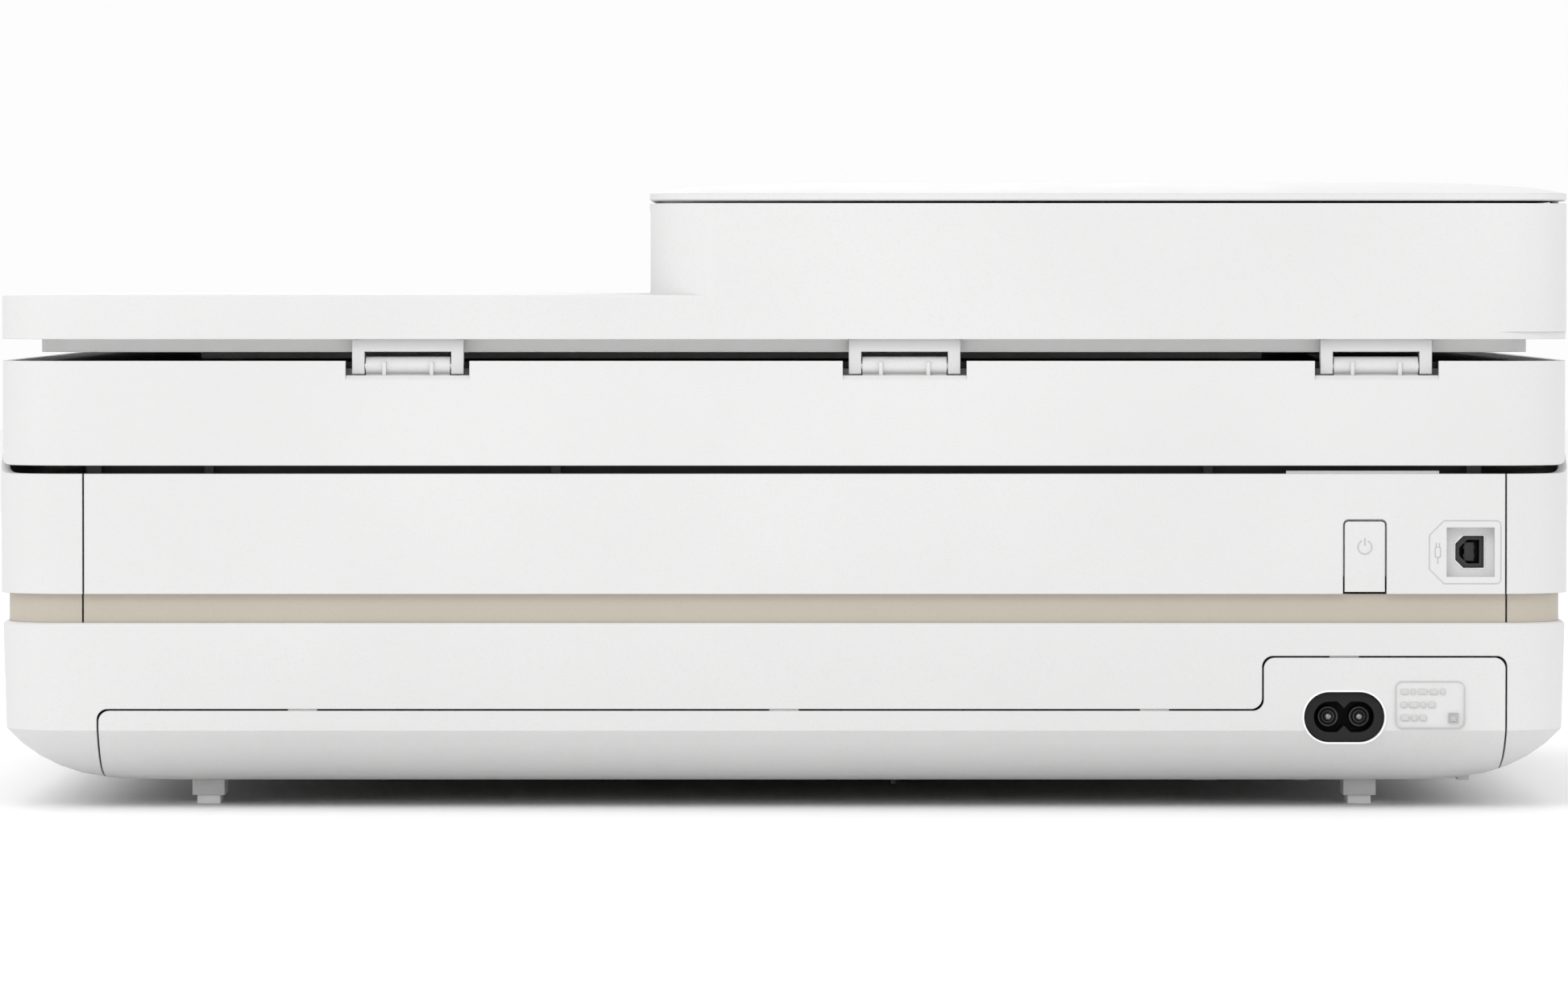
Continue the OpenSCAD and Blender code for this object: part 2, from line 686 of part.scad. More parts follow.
station_x0 = side_x + 5;
station_x1 = half_w - 34;
module service_station() {
    z1 = deck_z + 2.4;
    cap_w = 13;
    color("#37393b") union() {
        difference() {
            box([station_x0, 22, z_floor], [station_x1, 72, z1]);
            box([station_x0 + 2, 24, z_floor + 2], [station_x1 - 2, 70, z1 - 2]);
            box([station_x0 + 6, 58, z_floor + 2], [station_x1 - 6, 66, z1 + 1]);
        }
        box([home_x - carriage_w / 4 - cap_w / 2 - 1, 28, z1 - 0.4], [station_x1, 50, z1 + 1.6]);
        for (s = [-1, 1]) difference() {
            box([home_x + s * carriage_w / 4 - cap_w / 2, 30, z1], [home_x + s * carriage_w / 4 + cap_w / 2, 48, carriage_z - 0.6]);
            box([home_x + s * carriage_w / 4 - cap_w / 2 + 2, 32, carriage_z - 4],
                [home_x + s * carriage_w / 4 + cap_w / 2 - 2, 46, carriage_z]);
        }
        box([station_x0 + 4, 53, z1 - 0.4], [station_x1 - 4, 54.2, carriage_z - 0.6]);
    }
}

// Turning parts of the paper drive
module feed_roller() {
    color("#55585a") union() {
        rod_x(gear_x - 3.4, right_wall_x + 3.6, feed_y, shaft_z, 3);
        train_gear(feed_y, gear_z, 180);
        rod_x(-paper_w / 2 - 1, paper_w / 2 + 1, feed_y, shaft_z, feed_r);
    }
}
module exit_roller() {
    color("#55585a") union() {
        rod_x(gear_x - 3.4, right_wall_x + 3.6, exit_y, shaft_z, 3);
        train_gear(exit_y, gear_z, 180 / gear_z);
        for (x = [-3:2:3]) rod_x(x * paper_w / 8 - 6, x * paper_w / 8 + 6, exit_y, shaft_z, exit_r);
    }
}
// A gear of the train with its axis along X; turn sets where its teeth stand
module train_gear(y, z, turn) {
    translate([gear_x - 3, y, shaft_z]) rotate([90, 0, 90]) rotate(turn) gear(z, gear_m, 6, 0.5);
}
module idler_gear() {
    y = (feed_y + exit_y) / 2;
    color("ivory") union() {
        train_gear(y, idler_z, 180);
        rod_x(gear_x - 3.4, left_wall_x, y, shaft_z, 2);
    }
}
module motor_pinion() {
    color("#c9a84a") union() {
        train_gear(pinion_y, pinion_z, pinion_z % 2 == 0 ? 180 / pinion_z : 0);
        rod_x(gear_x - 8, gear_x + 3, pinion_y, shaft_z, 1.5);
    }
}
module pinch_rollers() {
    color("#46484a") union() {
        for (x = [-3:2:3])
            rod_x(x * paper_w / 8 - 11, x * paper_w / 8 + 11, feed_y, pinch_z, pinch_r);
        rod_x(left_wall_x - 3, right_wall_x + 3, feed_y, pinch_z, 1.2);
    }
}

// Pick roller on its swinging arm
pick_r = 9;
arm_y = 74;
arm_z = deck_z - 3;
pick_y = arm_y + 27;
pick_z = tray_floor_z + pick_r + 0.6;
module pick_arm() {
    tilt = atan2(arm_z - pick_z, pick_y - arm_y);
    len = norm([arm_z - pick_z, pick_y - arm_y]);
    color("#3c3f42") difference() {
        union() {
            for (s = [-1, 1])
                translate([s * 10 - 1.5, arm_y, arm_z]) rotate([-tilt, 0, 0]) box([0, -4, -4], [3, len + 4, 4]);
            rod_x(-36, 36, arm_y, arm_z, 2.5);
            translate([0, arm_y, arm_z]) rotate([-tilt, 0, 0]) box([-10, 4, -2], [10, len - pick_r - 3, 2]);
        }
        rod_x(-13, 13, pick_y, pick_z, 2 + run_gap);
    }
}
module pick_roller() {
    color("#242526") union() {
        rod_x(-7.5, 7.5, pick_y, pick_z, pick_r);
        rod_x(-12.5, 12.5, pick_y, pick_z, 2);
    }
}

// Ink carriage with two cartridges
cart_w = (carriage_w - 8) / 2;
cart_y0 = 27.5;
cart_y1 = 56;
module ink_carriage() {
    y0 = cart_y0 - 2.5;
    y1 = cart_y1 + 2;
    z1 = carriage_z + 46;
    color("#2b2d2f") difference() {
        union() {
            box([home_x - carriage_w / 2, y0, carriage_z + 0.4], [home_x + carriage_w / 2, y1, z1]);
            box([home_x - carriage_w / 2, y1 - 1, rod_z - 6.5], [home_x + carriage_w / 2, rod_y + 5.6, rod_z + 6.5]);
            box([home_x - 8, rod_y, rod_z + 6], [home_x + 8, belt_y, belt_z - pulley_r - 1.4]);
            box([home_x - 8, belt_y - 2, belt_z - pulley_r - 6], [home_x + 8, belt_y + 4.6, belt_z - pulley_r - 1.4]);
        }
        for (s = [-1, 1])
            box([home_x + s * carriage_w / 4 - cart_w / 2 - 0.3, cart_y0 - 0.3, carriage_z + 2.4],
                [home_x + s * carriage_w / 4 + cart_w / 2 + 0.3, cart_y1 + 0.3, z1 + 1]);
        for (s = [-1, 1])
            box([home_x + s * carriage_w / 4 - 9, cart_y0 + 2, carriage_z - 1],
                [home_x + s * carriage_w / 4 + 9, cart_y0 + 20, carriage_z + 3]);
        rod_x(home_x - carriage_w, home_x + carriage_w, rod_y, rod_z, rod_r + run_gap);
        box([home_x - carriage_w / 2 + 3, y0 - 1, z1 - 14], [home_x + carriage_w / 2 - 3, y0 + 4, z1 + 1]);
    }
}
module ink_cartridges() {
    color("#1e2022") for (s = [-1, 1]) translate([home_x + s * carriage_w / 4, 0, 0]) union() {
        box([-cart_w / 2, cart_y0, carriage_z + 2.6], [cart_w / 2, cart_y1, carriage_z + 42]);
        box([-8.5, cart_y0 + 2.5, carriage_z + 0.5], [8.5, cart_y0 + 19.5, carriage_z + 3]);
        box([-cart_w / 2 + 1, cart_y0, carriage_z + 42], [cart_w / 2 - 1, cart_y0 + 16, carriage_z + 47]);
    }
}

// ---------- electronics ----------

board_x = usb_x - 6.2;
module main_board() {
    y0 = rail_y + 8;
    y1 = half_d - 6;
    color("#1f5a38") union() {
        box([board_x - 1.6, y0, z_floor + 20], [board_x, y1, z_deck - 9]);
        box([board_x, y0 + 12, z_bowl - 6], [board_x + 3, y0 + 32, z_bowl + 14]);
        box([board_x, y0 + 40, z_bowl - 2], [board_x + 2, y0 + 52, z_bowl + 8]);
        for (i = [0:3]) rod_y_axis(y0 + 6 + i, y0 + 7 + i, board_x + 4.4, z_band + 3, 4.5);
        box([board_x, y0 + 24, z_band + 4], [board_x + 4, y0 + 32, z_band + 20]);
    }
}

// D-shaped data plug outline, chamfered towards +X, grown by g
module usb_outline(g) {
    a = 3.9 + g;
    b = 4.4 + g;
    c = 2.2;
    polygon([[-a, -b], [a - c, -b], [a, -b + c], [a, b - c], [a - c, b], [-a, b]]);
}
module usb_socket() {
    y1 = half_d - 5.4;
    color("#c8ccd0") union() {
        difference() {
            box([board_x, y1 - 16, usb_z - 6], [usb_x + 5.2, y1, usb_z + 6]);
            translate([usb_x, 0, usb_z]) xz_prism(y1 - 10, y1 + 1) usb_outline(0);
        }
        box([usb_x - 1.3, y1 - 11, usb_z - 2.5], [usb_x + 1.3, y1 - 1.5, usb_z + 2.5]);
    }
}

module power_supply() {
    x0 = inlet_x - 26;
    x1 = inlet_x + 21;
    y1 = half_d - 16;
    color("#3a3a3a") union() {
        box([x0, y1 - 52, z_floor + 4.5], [x1, y1, z_floor + 27]);
        box([x0 + 4, y1 - 48, z_floor], [x1 - 4, half_d - belly_inset - 7, z_floor + 5]);
        box([x0 - 1.2, y1 - 46, z_floor + 8], [x0, y1 - 6, z_floor + 23]);
    }
}

module power_inlet() {
    face_y = half_d - 2.4;
    back_y = half_d - 16;
    color("#232426") translate([inlet_x, 0, inlet_z]) union() {
        difference() {
            xz_prism(back_y, face_y) stadium(inlet_w, inlet_h);
            xz_prism(face_y - 11, face_y + 1) difference() {
                stadium(16.6, 8.5);
                for (s = [-1, 1])
                    translate([0, s * 4.25]) rotate(45) square(2.6, center = true);
            }
        }
        for (s = [-1, 1]) difference() {
            rod_y_axis(face_y - 11.5, face_y - 4.5, s * pin_pitch / 2, 0, 2.7);
            rod_y_axis(face_y - 11, face_y - 4, s * pin_pitch / 2, 0, 1.9);
        }
    }
}
module inlet_pins() {
    face_y = half_d - 2.4;
    color("silver") for (s = [-1, 1]) union() {
        rod_y_axis(face_y - 11, face_y - 2.6, inlet_x + s * pin_pitch / 2, inlet_z, 1.2);
        translate([inlet_x + s * pin_pitch / 2, face_y - 2.6, inlet_z]) sphere(1.2);
    }
}

// ---------- paper drawer ----------

tray_y0 = -half_d + 8;
tray_y1 = tray_y0 + tray_l;
guide_y = -72;
guide_l = 78;
guide_reach = (paper_w - photo_w) / 2;
rack_m = 1;
tray_pinion_z = 14;
rack_z = tray_floor_z - 4.8;
rack_back = 3.4;
leg_off = leg_offset(rack_m, tray_pinion_z, rack_back);
module paper_tray() {
    slot_x0 = paper_w / 2 - guide_reach - 3;
    slot_x1 = paper_w / 2 + 6;
    color("#f2f2f0") difference() {
        union() {
            intersection() {
                bowl_skin(wall);
                box([-front_w / 2, -half_d - 1, tray_front_z0], [front_w / 2, -half_d + belly_inset + 8, tray_front_z1]);
            }
            box([-tray_w / 2, tray_y0, tray_floor_z - 2], [tray_w / 2, tray_y1, tray_floor_z]);
            for (s = [-1, 1])
                box([s * (tray_w / 2 - 1) - 1, tray_y0, z_floor + 1], [s * (tray_w / 2 - 1) + 1, tray_y1, tray_front_z1 - 2]);
            box([-tray_w / 2, -half_d + wall + 0.6, tray_floor_z - 2], [tray_w / 2, tray_y0 + 2, tray_front_z1 - 2]);
            rod_z_post();
        }
        for (s = [-1, 1])
            box([s * (slot_x0 + slot_x1) / 2 - (slot_x1 - slot_x0) / 2, guide_y - s * leg_off - 2.3, tray_floor_z - 3],
                [s * (slot_x0 + slot_x1) / 2 + (slot_x1 - slot_x0) / 2, guide_y - s * leg_off + 2.3, tray_floor_z + 1]);
        xz_prism(-half_d - 2, -half_d + wall + 5) translate([0, tray_front_z1 + 1]) stadium(86, 18);
    }
}
module rod_z_post() {
    translate([0, guide_y, rack_z - 0.3]) cylinder(r = 2.4, h = tray_floor_z - rack_z - 1);
}
// One width guide: side is -1 for the left and 1 for the right
module tray_guide(side) {
    x = side * paper_w / 2;
    color("#d9dadb") union() {
        box([x + side * 1.5 - 1.5, guide_y - guide_l / 2, tray_floor_z + 0.3],
            [x + side * 1.5 + 1.5, guide_y + guide_l / 2, tray_floor_z + 13]);
        box([x + side * 1.5 - 3, guide_y - guide_l / 2, tray_floor_z + 0.3],
            [x + side * 1.5 + 3, guide_y + guide_l / 2, tray_floor_z + 1.5]);
        box([x + side * 1.5 - 2, guide_y - side * leg_off - 1.7, rack_z],
            [x + side * 1.5 + 2, guide_y - side * leg_off + 1.7, tray_floor_z + 1]);
        translate([0, guide_y, rack_z])
            guide_rack(side, paper_w / 2 + 3.5, rack_m, tray_pinion_z, 2.4, rack_back);
    }
}
module tray_guide_left() {
    tray_guide(-1);
}
module tray_guide_right() {
    tray_guide(1);
}
module tray_pinion() {
    color("ivory") translate([0, guide_y, rack_z]) rotate(90)
        gear(tray_pinion_z, rack_m, 2.4, 2.4 + run_gap, 0.12);
}

// ---------- output tray ----------

ext_w = 92;
ext_y0 = -half_d + 4;
ext_y1 = -half_d + 140;
module output_tray() {
    w = front_w - 4;
    z1 = z_bowl - 2;
    color("#8d8a83") difference() {
        union() {
            box([-w / 2, -half_d + 3.6, out_z], [w / 2, exit_y - exit_r - 3, out_z + 2]);
            for (s = [-1, 1])
                box([s * (w / 2 - 1) - 1, -half_d + 6, out_z], [s * (w / 2 - 1) + 1, exit_y - exit_r - 3, z1]);
            for (s = [-1, 1])
                box([s * (ext_w / 2 + 1.5) - 1.1, ext_y0 + 4, out_z + 2], [s * (ext_w / 2 + 1.5) + 1.1, ext_y1, out_z + 4.6]);
        }
    }
}
module output_extender() {
    color("#a5a29a") union() {
        box([-ext_w / 2, ext_y0, out_z + 2.2], [ext_w / 2, ext_y1, out_z + 4.2]);
        for (s = [-1, 1])
            box([s * (ext_w / 2 - 3) - 3, ext_y0, out_z + 2.2], [s * (ext_w / 2 - 3) + 3, ext_y0 + 4, out_z + 7]);
        rod_x(-ext_w / 2 + 5, ext_w / 2 - 5, ext_y0 + 2, out_z + 5.8, 0.8);
    }
}
module extender_stop() {
    w = ext_w - 13;
    color("#a5a29a") difference() {
        union() {
            box([-w / 2, ext_y0 + 2, out_z + 4.5], [w / 2, ext_y0 + 26, out_z + 6.9]);
            rod_x(-w / 2, w / 2, ext_y0 + 2, out_z + 5.8, 1.5);
        }
        rod_x(-w / 2 - 1, w / 2 + 1, ext_y0 + 2, out_z + 5.8, 0.8 + run_gap);
        translate([0, 0, out_z]) linear_extrude(10) translate([0, ext_y0 + 26]) circle(7);
    }
}

// ---------- scanner unit ----------

glass_x0 = -half_w + 80;
glass_x1 = glass_x0 + 302;
strip_x0 = glass_x0 - 26;
glass_d = paper_w + 10;
scan_y = 6;
z_glass = z_scan - bezel_t - glass_t;

// Notch in the rear wall for a lid hinge, with a chamfered sill
notch_z = lid_hinge_z - 2.3;
module hinge_notch(x) {
    translate([x - notch_w / 2, 0, 0]) rotate([90, 0, 90]) linear_extrude(notch_w)
        polygon([[half_d - 6, notch_z], [half_d - scan_step - 1.2, notch_z], [half_d + 1, notch_z - 2.7],
                 [half_d + 1, z_scan + 1], [half_d - 6, z_scan + 1]]);
}

module scanner_housing() {
    in = tub_inset;
    t = wall;
    color("white") difference() {
        union() {
            difference() {
                ring(z_split, z_scan, scan_step, t);
                difference() {
                    plate(z_split - 5, z_wing + split_gap + 0.01, -1);
                    above_split(split_gap, z_scan + 1);
                }
                for (x = hinge_xs) hinge_notch(x);
            }
            difference() {
                box([-half_w + in, -half_d + in, tub_z], [half_w - in, tub_rear_y, z_scan - bezel_t]);
                box([-half_w + in + t, -half_d + in + t, tub_z + t], [half_w - in - t, tub_rear_y - t, z_scan]);
                for (sx = [-1, 1]) translate([sx * (half_w - in), -half_d + in, tub_z - 1])
                    rotate(45) cube([13, 13, 60], center = true);
            }
            difference() {
                plate(z_wing + split_gap + 0.3, z_wing + split_gap + 2.3, scan_step + 1);
                box([-half_w + in + 1, -half_d + in + 1, z_wing], [half_w - in - 1, half_d, z_scan]);
                box([-half_w - 1, split_y - 48, z_wing], [half_w + 1, half_d + 1, z_scan]);
            }
            box([-half_w + 22, tub_rear_y - 1, tub_z + 2], [half_w - 22, half_d - scan_step - t + 0.1, tub_z + 4.5]);
            for (s = [-1, 1]) {
                xc = s * (scan_hinge_x - 1.5);
                box([xc - 1.5, scan_hinge_y - 2.7, scan_hinge_z], [xc + 1.5, scan_hinge_y + 2.7, tub_z + 3]);
                rod_x(xc - 1.5, xc + 1.5, scan_hinge_y, scan_hinge_z, 2.7);
            }
            box([-half_w + 24, scan_y - 3, tub_z + 1], [half_w - 24, scan_y + 3, tub_z + 5]);
            lid_hinge_seats();
        }
        for (x = hinge_xs)
            rod_x(x - seat_w / 2 - 1, x + seat_w / 2 + 1, lid_hinge_y, lid_hinge_z, pin_r);
        for (s = [-1, 1])
            rod_x(s * (scan_hinge_x - 1.5) - 3, s * (scan_hinge_x - 1.5) + 3, scan_hinge_y, scan_hinge_z, pin_r);
    }
}

module scanner_bezel() {
    color("#17181a") difference() {
        plate(z_scan - bezel_t, z_scan - 0.3, scan_step + wall + 0.2);
        box([glass_x0 + 4, scan_y - glass_d / 2 + 4, z_scan - 5], [glass_x1 - 4, scan_y + glass_d / 2 - 4, z_scan + 1]);
        box([strip_x0 + 3, scan_y - glass_d / 2 + 4, z_scan - 5], [strip_x0 + 15, scan_y + glass_d / 2 - 4, z_scan + 1]);
        for (x = hinge_xs)
            box([x - notch_w / 2 - 0.3, tub_rear_y + 0.5, z_scan - 5], [x + notch_w / 2 + 0.3, half_d, z_scan + 1]);
    }
}

module scanner_glass() {
    color("#b8d0cc") {
        box([glass_x0, scan_y - glass_d / 2, z_glass], [glass_x1, scan_y + glass_d / 2, z_glass + glass_t]);
        box([strip_x0, scan_y - glass_d / 2, z_glass], [strip_x0 + 18, scan_y + glass_d / 2, z_glass + glass_t]);
    }
}

module scan_bar() {
    x = strip_x0 + 9;
    z0 = tub_z + wall + 0.6;
    color("#1d1f21") difference() {
        box([x - 10, scan_y - paper_w / 2 - 2, z0], [x + 10, scan_y + paper_w / 2 + 2, z_glass - 0.5]);
        box([x - 11, scan_y - 3.2, z0 - 1], [x + 11, scan_y + 3.2, tub_z + 5.2]);
        box([x - 2, scan_y - paper_w / 2, z_glass - 1.8], [x + 2, scan_y + paper_w / 2, z_glass]);
    }
}

seat_w = 23.2;
arm_w = 30.6;
seat_r = 2.8;
// Posts of the lid hinges, which stand in the notches of the scanner housing
module lid_hinge_seats() {
    for (x = hinge_xs) translate([x, 0, 0]) {
        box([-seat_w / 2, lid_hinge_y - seat_r, tub_z + 4], [seat_w / 2, lid_hinge_y + 2, lid_hinge_z]);
        rod_x(-seat_w / 2, seat_w / 2, lid_hinge_y, lid_hinge_z, seat_r);
        for (s = [-1, 1])
            box([s * 6.5 - 0.55, lid_hinge_y, tub_z + 8], [s * 6.5 + 0.55, lid_hinge_y + 3.4, lid_hinge_z + 1.4]);
    }
}

module lid_hinge_arms() {
    z1 = z_lid_top - wall;
    back = 2.9;
    color("#f4f5f4") for (x = hinge_xs) translate([x, 0, 0]) difference() {
        union() {
            for (s = [-1, 1])
                box([s * (arm_w / 2 - 1.7) - 1.7, lid_hinge_y - 2.7, lid_hinge_z - 2],
                    [s * (arm_w / 2 - 1.7) + 1.7, lid_hinge_y + back, z_lid - liner_drop + 1]);
            box([-arm_w / 2, lid_hinge_y - 1.8, z_lid - liner_drop + 0.2],
                [arm_w / 2, lid_hinge_y + back, z_lid]);
            box([-arm_w / 2 + 2, lid_hinge_y - 1.8, z_lid - 1], [arm_w / 2 - 2, lid_hinge_y + back, z1]);
        }
        rod_x(-arm_w / 2 - 1, arm_w / 2 + 1, lid_hinge_y, lid_hinge_z, pin_r + run_gap);
    }
}

module hinge_pins() {
    color("silver") {
        for (x = hinge_xs) rod_x(x - arm_w / 2, x + arm_w / 2, lid_hinge_y, lid_hinge_z, pin_r);
        for (s = [-1, 1])
            rod_x(s * (scan_hinge_x + 0.8) - 3.6, s * (scan_hinge_x + 0.8) + 3.6, scan_hinge_y, scan_hinge_z, pin_r);
    }
}

// ---------- lid and feeder ----------

module adf_plan(inset) {
    translate([(adf_x0 + adf_x1) / 2, adf_mid_y]) rrect(adf_w - 2 * inset, adf_d - 2 * inset, 18 - inset);
}
knuckle_ys = [adf_mid_y - 90, adf_mid_y, adf_mid_y + 90];
cover_pin_r = 0.5;
// Knuckles and pins that the feeder cover turns on
module cover_hinges() {
    r = 0.95;
    for (y = knuckle_ys) {
        box([cover_hinge_x - r, y - 2.9, z_adf - 3], [cover_hinge_x + r, y + 2.9, cover_hinge_z]);
        rod_y_axis(y - 2.9, y + 2.9, cover_hinge_x, cover_hinge_z, r);
        rod_y_axis(y - 5.5, y + 5.5, cover_hinge_x, cover_hinge_z, cover_pin_r);
    }
}
window_x0 = strip_x0 - 20;
window_x1 = strip_x0 + 44;
module lid_shell() {
    mouth_y = paper_w / 2 + 8;
    color("white") union() {
        cover_hinges();
        lid_box(mouth_y);
    }
}
module lid_box(mouth_y) {
    difference() {
        union() {
            slice_hull(slab_slices(z_lid, z_lid_top, edge_r, lid_step), body_w, body_d, corner_r);
            translate([0, 0, z_lid + 2]) linear_extrude(z_adf - z_lid - 2) adf_plan(0);
        }
        translate([0, 0, z_lid - 1]) linear_extrude(lid_h - wall + 1)
            rrect(body_w - 2 * (lid_step + wall), body_d - 2 * (lid_step + wall), corner_r - wall);
        translate([0, 0, z_lid_top]) linear_extrude(adf_h + 1) adf_plan(wall);
        box([window_x0, adf_mid_y - mouth_y, z_lid + 1], [window_x1, adf_mid_y + mouth_y, z_lid_top + 1]);
        box([adf_x1 - wall - 1, adf_mid_y - mouth_y, z_lid_top + 0.8], [adf_x1 + 1, adf_mid_y + mouth_y, z_adf - 2]);
    }
}

module lid_liner() {
    zb = z_lid - liner_drop;
    w = body_w - 2 * liner_inset;
    d = body_d - liner_inset - liner_rear;
    y_mid = (liner_inset - liner_rear) / 2;
    flange = lid_step + wall + loose;
    color("#e9ebea") difference() {
        union() {
            translate([0, y_mid, zb]) linear_extrude(z_lid_top - wall - zb) rrect(w, d, corner_r - 6);
            plate(z_lid + 0.8, z_lid + 2.4, flange);
        }
        translate([0, y_mid, zb + 1.8]) linear_extrude(lid_h + liner_drop) rrect(w - 3.6, d - 3.6, corner_r - 7.8);
        box([window_x0, adf_mid_y - paper_w / 2 - 8, zb - 1],
            [window_x1, adf_mid_y + paper_w / 2 + 8, z_lid + lid_h]);
        for (x = hinge_xs)
            box([x - arm_w / 2 - loose, lid_hinge_y - 1.8 - loose, z_lid],
                [x + arm_w / 2 + loose, half_d, z_lid + 3]);
    }
}

module lid_pad() {
    color("white") box([glass_x0 + 2, scan_y - glass_d / 2 + 2, z_scan + 0.1],
                       [glass_x1 - 2, scan_y + glass_d / 2 - 2, z_lid - liner_drop]);
}

adf_guide_x = adf_x1 - 66;
adf_guide_l = 56;
adf_rack_m = 0.8;
adf_pinion_z = 12;
adf_rack_back = 3;
adf_leg_off = leg_offset(adf_rack_m, adf_pinion_z, adf_rack_back);
adf_reach = (paper_w - 120) / 2;
adf_rack_z = adf_deck_z - 4.8;
adf_half = paper_w / 2 + 6;
adf_pick_z = adf_deck_z + adf_pick_r + 0.3;
module adf_tray() {
    x0 = adf_pick_x - 34;
    color("#d4d6d7") difference() {
        union() {
            box([x0, adf_mid_y - adf_half, adf_deck_z - 2], [adf_x1 - 1, adf_mid_y + adf_half, adf_deck_z]);
            for (s = [-1, 1])
                box([x0, adf_mid_y + s * (adf_half - 1) - 1, z_lid_top],
                    [adf_x1 - 4, adf_mid_y + s * (adf_half - 1) + 1, adf_deck_z + 3]);
            for (s = [-1, 1])
                box([adf_pick_x - 6, adf_mid_y + s * 16 - 1.5, adf_deck_z - 1],
                    [adf_pick_x + 6, adf_mid_y + s * 16 + 1.5, adf_pick_z + 4]);
            translate([adf_guide_x, adf_mid_y, adf_rack_z - 0.6]) cylinder(r = 2, h = 4);
        }
        for (s = [-1, 1]) {
            y = adf_mid_y + s * (paper_w / 2 - adf_reach / 2);
            box([adf_guide_x + s * adf_leg_off - 1.9, y - adf_reach / 2 - 2, adf_deck_z - 3],
                [adf_guide_x + s * adf_leg_off + 1.9, y + adf_reach / 2 + 4, adf_deck_z + 1]);
        }
        rod_y_axis(adf_mid_y - 20, adf_mid_y + 20, adf_pick_x, adf_pick_z, 2 + run_gap);
    }
}
// One document guide: side is -1 for the front and 1 for the rear
module adf_guide(side) {
    reach = paper_w / 2 + 2;
    color("#7c8084") translate([adf_guide_x, adf_mid_y, 0]) rotate(90) union() {
        box([side * (reach - 1) - 1, -adf_guide_l / 2, adf_deck_z + 0.3],
            [side * (reach - 1) + 1, adf_guide_l / 2, adf_deck_z + 9]);
        box([side * (reach - 1) - 1, -side * adf_leg_off - 1.5, adf_rack_z],
            [side * (reach - 1) + 1, -side * adf_leg_off + 1.5, adf_deck_z + 1]);
        translate([0, 0, adf_rack_z]) guide_rack(side, reach, adf_rack_m, adf_pinion_z, 2.4, adf_rack_back);
    }
}
module adf_guide_front() {
    adf_guide(-1);
}
module adf_guide_rear() {
    adf_guide(1);
}
module adf_guide_pinion() {
    color("ivory") translate([adf_guide_x, adf_mid_y, adf_rack_z])
        gear(adf_pinion_z, adf_rack_m, 2.4, 2 + run_gap, 0.12);
}

// Bearing plates of the feeder and its motor, which drives the feed roller
adf_gear_z = 16;
adf_drive_z = 11;
adf_motor_x = adf_feed_x + gear_m * (adf_gear_z + adf_drive_z) / 2;
adf_front_y = adf_mid_y - adf_half - 3.2;
adf_rear_y = adf_mid_y + adf_half + 3.2;
adf_belt_y = adf_rear_y + 4;
adf_pulley_r = 3.8;
module adf_frame() {
    color("#4a4d50") difference() {
        union() {
            for (y = [adf_front_y, adf_rear_y])
                box([adf_feed_x - 9, y - 1.2, z_lid_top], [adf_pick_x + 6, y + 1.2, adf_pick_z + 5]);
            box([adf_feed_x + 14, adf_front_y, adf_pick_z + 1], [adf_feed_x + 20, adf_rear_y, adf_pick_z + 4]);
            rod_y_axis(adf_front_y, adf_front_y + 3, adf_motor_x, adf_feed_z, 5);
        }
        for (y = [adf_front_y, adf_rear_y]) {
            rod_y_axis(y - 2, y + 4, adf_feed_x, adf_feed_z, 3 + run_gap);
            rod_y_axis(y - 2, y + 2, adf_pick_x, adf_pick_z, 2 + run_gap);
        }
        rod_y_axis(adf_front_y - 2, adf_front_y + 4, adf_motor_x, adf_feed_z, 1.5 + run_gap);
    }
}
module adf_feed_roller() {
    half = paper_w / 2;
    color("#45484a") union() {
        for (k = [-3:2:3])
            rod_y_axis(adf_mid_y + k * half / 4 - 10, adf_mid_y + k * half / 4 + 10, adf_feed_x, adf_feed_z, adf_roller_r);
        rod_y_axis(adf_front_y - 6, adf_belt_y + 2.4, adf_feed_x, adf_feed_z, 3);
        rod_y_axis(adf_belt_y - 1.6, adf_belt_y + 1.6, adf_feed_x, adf_feed_z, adf_pulley_r);
        translate([adf_feed_x, adf_front_y - 6, adf_feed_z]) rotate([-90, 0, 0]) rotate(180 / adf_gear_z)
            gear(adf_gear_z, gear_m, 4, 0.4);
    }
}
module adf_drive_pinion() {
    color("#c9a84a") union() {
        translate([adf_motor_x, adf_front_y - 6, adf_feed_z]) rotate([-90, 0, 0]) rotate(180)
            gear(adf_drive_z, gear_m, 4, 0.4);
        rod_y_axis(adf_front_y - 6.4, adf_front_y + 3, adf_motor_x, adf_feed_z, 1.5);
    }
}
module adf_pick_roller() {
    color("#333638") union() {
        rod_y_axis(adf_mid_y - 12, adf_mid_y + 12, adf_pick_x, adf_pick_z, adf_pick_r);
        rod_y_axis(adf_front_y - 2, adf_belt_y + 2.4, adf_pick_x, adf_pick_z, 2);
        rod_y_axis(adf_belt_y - 1.6, adf_belt_y + 1.6, adf_pick_x, adf_pick_z, adf_pulley_r);
    }
}
